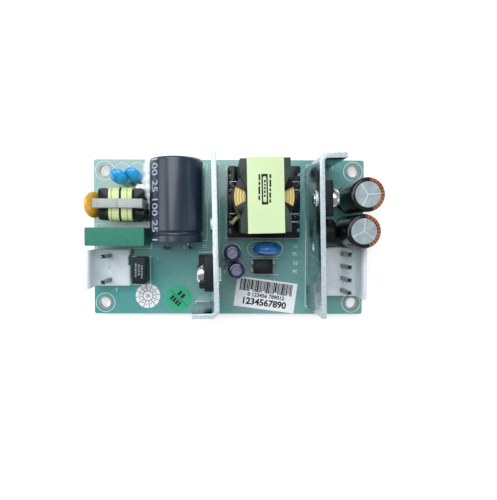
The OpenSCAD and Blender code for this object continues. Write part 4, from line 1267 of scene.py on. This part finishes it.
@dataclass
class PowerTransformer:
    """Core halves, bobbin, winding, tape and wires of the power transformer."""

    model: Model
    core_edge: float = 0.25
    bobbin_edge: float = 0.12
    print_place: Point = (TRANSFORMER_PLACE[0] - 0.35, TRANSFORMER_PLACE[1] + 1.6)
    turn: float = 1.5
    block: Pair = (1.75, 8.4)
    window: Pair = (0.95, 6.2)
    window_slant: float = 0.08
    end_radii: Pair = (0.475, 0.255)
    end_width: float = 0.3
    row_reach: float = 1.5
    row_top: float = 4.1
    bar_width: float = 0.5
    bar_gap: float = 0.35
    wire_radius: float = 0.2
    sleeve_radius: float = 0.62

    def build(self) -> None:
        """Dress the transformer and print its tape."""
        for node in ("transformer_core_lower", "transformer_core_upper"):
            self.model.refine(node, DARK_FERRITE, self.core_edge, 3, "ferrite")
        self.model.refine("transformer_bobbin", BLACK_GLOSS, self.bobbin_edge, 2,
                          "black_plastic")
        self.model.dress(COPPER_TURNS, "transformer_winding")
        self.model.dress(CORE_TAPE, "transformer_tape")
        self.model.dress(TINNED, "transformer_pins", "transformer_lead_outs")
        self.print_tape()
        self.lead_wires()

    def print_tape(self) -> None:
        """Print a dark block with a pale capsule and rows of bars on the tape."""
        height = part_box("transformer_tape")[1].z / MM
        x, y = self.print_place
        ink = InkSheet("tape_print", height)
        ink.bar(x, y, *self.block, self.turn)
        for side, lengths in ((-1, (1.7, 0.9, 2.2, 1.2)), (1, (1.1, 2.0, 0.8, 1.5, 1.0))):
            top = y + self.row_top
            for length in lengths:
                ink.bar(x + side * self.row_reach, top - length / 2, self.bar_width, length,
                        self.turn)
                top -= length + self.bar_gap
        self.model.add(ink.printed(), BLACK_INK, Shading.FLAT, "core_tape")
        capsule = InkSheet("tape_capsule", height + INK)
        capsule.bar(x, y, *self.window, self.turn)
        for side in (-1, 1):
            for radius in self.end_radii:
                capsule.ring(x - side * self.window_slant, y + side * self.window[1] / 2,
                             radius, self.end_width, 24)
        self.model.add(capsule.printed(), CORE_TAPE, Shading.FLAT, "core_tape")
        bars = InkSheet("capsule_bars", height + 2 * INK)
        for step, length in ((2.2, 0.7), (1.2, 0.5), (0.3, 0.6), (-0.7, 0.7), (-1.8, 0.6)):
            bars.bar(x, y + step, self.bar_width, length, self.turn)
        self.model.add(bars.printed(), BLACK_INK, Shading.FLAT, "core_tape")

    def lead_wires(self) -> None:
        """Bend the winding's ends over the bobbin and sleeve one of them."""
        wires = [Bench.wire(f"lead_{i}", points, self.wire_radius) for i, points in enumerate((
            [(-0.1, 17.8, 4.6), (0.2, 16.9, 6.6), (1.4, 15.9, 8.6), (2.0, 14.9, 9.4)],
            [(-0.1, 12.9, 4.6), (0.0, 14.0, 6.4), (0.9, 14.6, 8.2), (1.8, 14.0, 9.4)],
            [(-0.1, 2.9, 4.6), (0.3, 3.9, 6.2), (1.4, 5.0, 8.0), (2.2, 6.2, 9.2)],
            [(22.0, 17.9, 4.6), (21.0, 17.0, 6.8), (19.2, 16.2, 8.8), (18.0, 15.0, 9.4)],
            [(22.0, 5.2, 4.6), (21.2, 6.4, 6.8), (19.4, 8.2, 8.8), (18.2, 9.4, 9.4)]))]
        self.model.add(Bench.join("winding_leads", wires), TINNED, Shading.SMOOTH, "tinned")
        sleeve = Bench.wire("lead_sleeve", [(1.0, 4.6, 7.4), (1.8, 5.6, 8.6), (2.9, 6.6, 9.3)],
                            self.sleeve_radius)
        self.model.add(sleeve, CHOKE_TAPE, Shading.SMOOTH, "winding_tape")


@dataclass
class OutputFilter:
    """Upright output capacitors and the ring choke beside them."""

    model: Model
    choke_edge: float = 0.1
    places: tuple[Point, Point] = OUTPUT_PLACES
    can_top: float = 18.9
    lip_radius: float = 4.1
    lip_thickness: float = 0.32
    lip_flatness: float = 0.55
    score_reach: float = 3.7
    score_width: float = 0.3
    score_turns: Pair = (85.0, 5.0)

    def build(self) -> None:
        """Dress the capacitors, close their sleeves and score their vents."""
        self.model.dress(BLACK_SLEEVE, "output_capacitor_sleeves")
        self.model.dress(ALUMINIUM, "output_capacitor_cans")
        self.model.dress(RUBBER, "output_capacitor_bungs")
        self.model.dress(TINNED, "output_capacitor_leads", "output_choke_leads")
        self.model.refine("output_choke", SHRINK, self.choke_edge, 2, "shrink")
        self.fold_lips()
        self.score_vents()

    def fold_lips(self) -> None:
        """Let each sleeve's folded rim reach further over its can."""
        lips = []
        for count, (x, y) in enumerate(self.places):
            Bench.clear()
            bpy.ops.mesh.primitive_torus_add(
                location=(x * MM, y * MM, (self.can_top + 2 * INK) * MM),
                major_segments=64, minor_segments=12, major_radius=self.lip_radius * MM,
                minor_radius=self.lip_thickness * MM)
            lip = Bench.named(f"lip_{count}")
            Bench.edit(lip)
            bpy.ops.mesh.select_all(action="SELECT")
            bpy.ops.transform.resize(value=(1, 1, self.lip_flatness),
                                     center_override=(x * MM, y * MM, self.can_top * MM))
            Bench.clear()
            lips.append(lip)
        self.model.add(Bench.join("sleeve_lips", lips), BLACK_SLEEVE, Shading.SMOOTH,
                       "output_sleeve")

    def score_vents(self) -> None:
        """Draw the three lines of the vent on each can."""
        ink = InkSheet("vent_scores", self.can_top)
        for place, start in zip(self.places, self.score_turns):
            for turn in (0, 120, 240):
                ink.line(place, around(place, self.score_reach, 0, start + turn),
                         self.score_width)
        self.model.add(ink.printed(1.5 * INK), SCORE_LINE, Shading.FLAT, "can")


@dataclass
class ControlParts:
    """Small capacitors, the bridging disc and the optocoupler."""

    model: Model
    package_edge: float = 0.1
    disc_thickness: float = 4.3
    disc_pitch: float = 7.5

    def build(self) -> None:
        """Dress and refine the small parts."""
        self.model.dress(BLUE_SLEEVE, "small_capacitor_sleeves")
        self.model.dress(LILAC_ALUMINIUM, "small_capacitor_cans")
        self.model.dress(RUBBER, "small_capacitor_bungs")
        self.model.dress(TINNED, "small_capacitor_leads", "bridging_disc_leads",
                         "optocoupler_legs")
        DippedDisc(self.model, "bridging_disc_body", "bridging_disc_capacitor", DEEP_BLUE_DIP,
                   "blue_epoxy", 0.0, self.disc_thickness, self.disc_pitch).build()
        self.model.refine("optocoupler_body", BLACK_MOULD, self.package_edge, 2, "epoxy_mould")


@dataclass
class Stickers:
    """Paper label and the two round stickers, printed with plain marks only."""

    model: Model
    surface: float = 1.72
    label: Point = (12.3, -19.1)
    label_turn: float = -7.6
    label_length: float = 20.2
    margin: float = 1.3
    bars_top: float = 4.4
    tall_bar: float = 3.9
    short_bar: float = 3.3
    row_weight: float = 0.035
    bar_share: float = 1.15
    bar_widths: str = "21131221311231211213211123121132121121"
    wheel: Point = (-26.8, -19.55)
    hub_radius: float = 1.75
    hub_size: float = 1.5
    hour_radius: float = 2.75
    hour_size: float = 0.95
    first_hour: float = 83.0
    first_spoke: float = 8.0
    spoke_ends: Pair = (1.7, 3.95)
    spoke_width: float = 0.2
    disc: Point = (-16.6, -20.2)
    disc_turn: float = -45.0
    disc_line: Pair = (8.0, 0.16)
    disc_bar: float = 1.7

    def build(self) -> None:
        """Dress the stickers and print them."""
        self.model.dress(PAPER, "paper_label", "date_sticker")
        self.model.dress(GREEN_FOIL, "check_sticker")
        self.print_label()
        self.print_wheel()
        self.print_disc()

    def row(self, name: str, text: str, size: float, place: Point, turn: float,
            weight: float = 0.015) -> Piece:
        """Set a row of figures on a sticker.

        Args:
            name: Name of the piece.
            text: The figures.
            size: Height of the type, in millimetres.
            place: Middle of the row, in millimetres.
            turn: Angle about Z, in degrees.
            weight: Growth of every stroke, as a share of the height.

        Returns:
            The new piece.
        """
        return Bench.lettering(name, text, size, (*place, self.surface), turn, weight=weight)

    def print_label(self) -> None:
        """Print a row of bars and two rows of plain figures."""
        ink = InkSheet("label_bars", self.surface)
        widths = [int(width) for width in self.bar_widths]
        unit = (self.label_length - 2 * self.margin) / (
            sum(widths) + len(widths) * self.bar_share)
        x = self.margin - self.label_length / 2
        for count, width in enumerate(widths):
            tall = self.tall_bar if count % 9 < 7 else self.short_bar
            place = around(self.label, x + width * unit / 2, self.bars_top - tall / 2,
                           self.label_turn)
            ink.bar(*place, width * unit * self.bar_share, tall, self.label_turn)
            x += (width + self.bar_share) * unit
        rows = [ink.printed()]
        for name, text, size, x, y in (("small_row", "0 123456 789012", 1.75, 0.2, -0.55),
                                       ("large_row", "1234567890", 3.0, -0.2, -2.9)):
            rows.append(self.row(name, text, size, around(self.label, x, y, self.label_turn),
                                 self.label_turn, self.row_weight))
        self.model.add(Bench.join("label_print", rows), BLACK_INK, Shading.FLAT, "paper")

    def print_wheel(self) -> None:
        """Print the spokes, rings and figures of the white wheel."""
        ink = InkSheet("wheel_lines", self.surface)
        ink.ring(*self.wheel, self.hub_radius, self.spoke_width)
        for hour in range(12):
            start, end = (around(self.wheel, reach, 0, self.first_spoke + hour * 30)
                          for reach in self.spoke_ends)
            ink.line(start, end, self.spoke_width)
        rows = [ink.printed()]
        for hour in range(12):
            turn = self.first_hour - hour * 30
            rows.append(self.row(f"hour_{hour}", str(hour + 1), self.hour_size,
                                 around(self.wheel, self.hour_radius, 0, turn), turn - 90))
        rows.append(self.row("hub", "26", self.hub_size, self.wheel, 0))
        self.model.add(Bench.join("wheel_print", rows), WHEEL_INK, Shading.FLAT, "paper")

    def print_disc(self) -> None:
        """Print a slanting line and plain bars on the green sticker."""
        ink = InkSheet("disc_print", self.surface)
        ink.bar(*self.disc, *self.disc_line, self.disc_turn)
        for x, y, width in ((-0.8, 1.4, 0.8), (0.6, 1.4, 0.88), (-1.6, -1.4, 0.72),
                            (-0.5, -1.4, 0.72), (0.6, -1.4, 0.72), (1.6, -1.4, 0.56)):
            ink.bar(*around(self.disc, x, y, self.disc_turn), width, self.disc_bar,
                    self.disc_turn)
        self.model.add(ink.printed(), BLACK_INK, Shading.FLAT, "green_paper")


# --- Studio ------------------------------------------------------------------


@dataclass
class Studio:
    """Floor, lamps, surroundings and camera."""

    eye: Triple = (-2.52, 1.58, 140.6)
    turns: Triple = (1.99, 0.43, -0.2)
    sensor: float = 36.0
    focal_share: float = 0.8382
    shift: Pair = (0.0484, -0.006)
    floor_size: float = 3.0
    floor_height: float = -2.4
    floor_glow: float = 0.4
    world_strength: float = 0.33

    def build(self) -> None:
        """Set up everything around the object."""
        scene = bpy.context.scene
        scene.view_settings.view_transform = "Standard"
        self.lay_floor()
        self.light()
        self.aim()

    def aim(self) -> None:
        """Place the camera."""
        tilt, roll, spin = (math.radians(a) for a in self.turns)
        seen = (Matrix.Rotation(spin, 3, "Z") @ Matrix.Rotation(roll, 3, "Y")
                @ Matrix.Rotation(tilt, 3, "X"))
        lens = bpy.data.cameras.new("camera")
        lens.sensor_width = self.sensor
        lens.lens = self.focal_share * self.sensor
        lens.shift_x, lens.shift_y = self.shift
        lens.clip_start = 0.005
        camera = bpy.data.objects.new("camera", lens)
        bpy.context.scene.collection.objects.link(camera)
        camera.matrix_world = (Matrix.Translation([v * MM for v in self.eye])
                               @ seen.transposed().to_4x4())
        bpy.context.scene.camera = camera

    def lay_floor(self) -> None:
        """Lay a plain pale floor that the camera and mirrors see as white."""
        Bench.clear()
        bpy.ops.mesh.primitive_plane_add(size=self.floor_size,
                                         location=(0, 0, self.floor_height * MM))
        floor = Bench.named("floor")
        nodes = Nodes("pale_floor")
        rays = nodes.add("LightPath", {}).outputs
        seen = rays["Is Camera Ray"]
        for kind in ("Is Glossy Ray", "Is Transmission Ray"):
            seen = nodes.work("MAXIMUM", seen, rays[kind])
        nodes.fill(nodes.surface, {
            "Base Color": (0.86, 0.87, 0.88, 1), "Roughness": 0.9,
            "Emission Color": (1, 1, 1, 1),
            "Emission Strength": nodes.work("MULTIPLY", seen, self.floor_glow)})
        floor.data.materials.append(nodes.material)

    def light(self) -> None:
        """Hang one broad soft lamp and two weak ones in even surroundings."""
        world = bpy.data.worlds.new("surroundings")
        world.use_nodes = True
        sky = world.node_tree.nodes["Background"].inputs
        sky["Color"].default_value = (0.93, 0.97, 1, 1)
        sky["Strength"].default_value = self.world_strength
        bpy.context.scene.world = world
        for name, place, size, power in (
            ("broad", (-0.12, 0.26, 0.55), 0.5, 2.9),
            ("left", (-0.6, 0.0, 0.4), 0.4, 1.1),
            ("right", (0.5, -0.2, 0.45), 0.3, 0.5),
        ):
            data = bpy.data.lights.new(name, "AREA")
            data.shape = "SQUARE"
            data.size = size
            data.energy = power
            lamp = bpy.data.objects.new(name, data)
            bpy.context.scene.collection.objects.link(lamp)
            lamp.location = place
            lamp.rotation_mode = "QUATERNION"
            lamp.rotation_quaternion = Vector(place).to_track_quat("Z", "Y")


def main() -> None:
    """Build the studio and every sub-assembly, in order."""
    Studio().build()
    model = Model()
    for assembly in (CircuitBoard(model), Headers(model), LineFilter(model),
                     BulkCapacitor(model), PowerDevices(model), PowerTransformer(model),
                     OutputFilter(model), ControlParts(model), Stickers(model)):
        before = model.count
        assembly.build()
        log.info("%s: %d pieces", type(assembly).__name__, model.count - before)


if __name__ == "__main__":
    main()
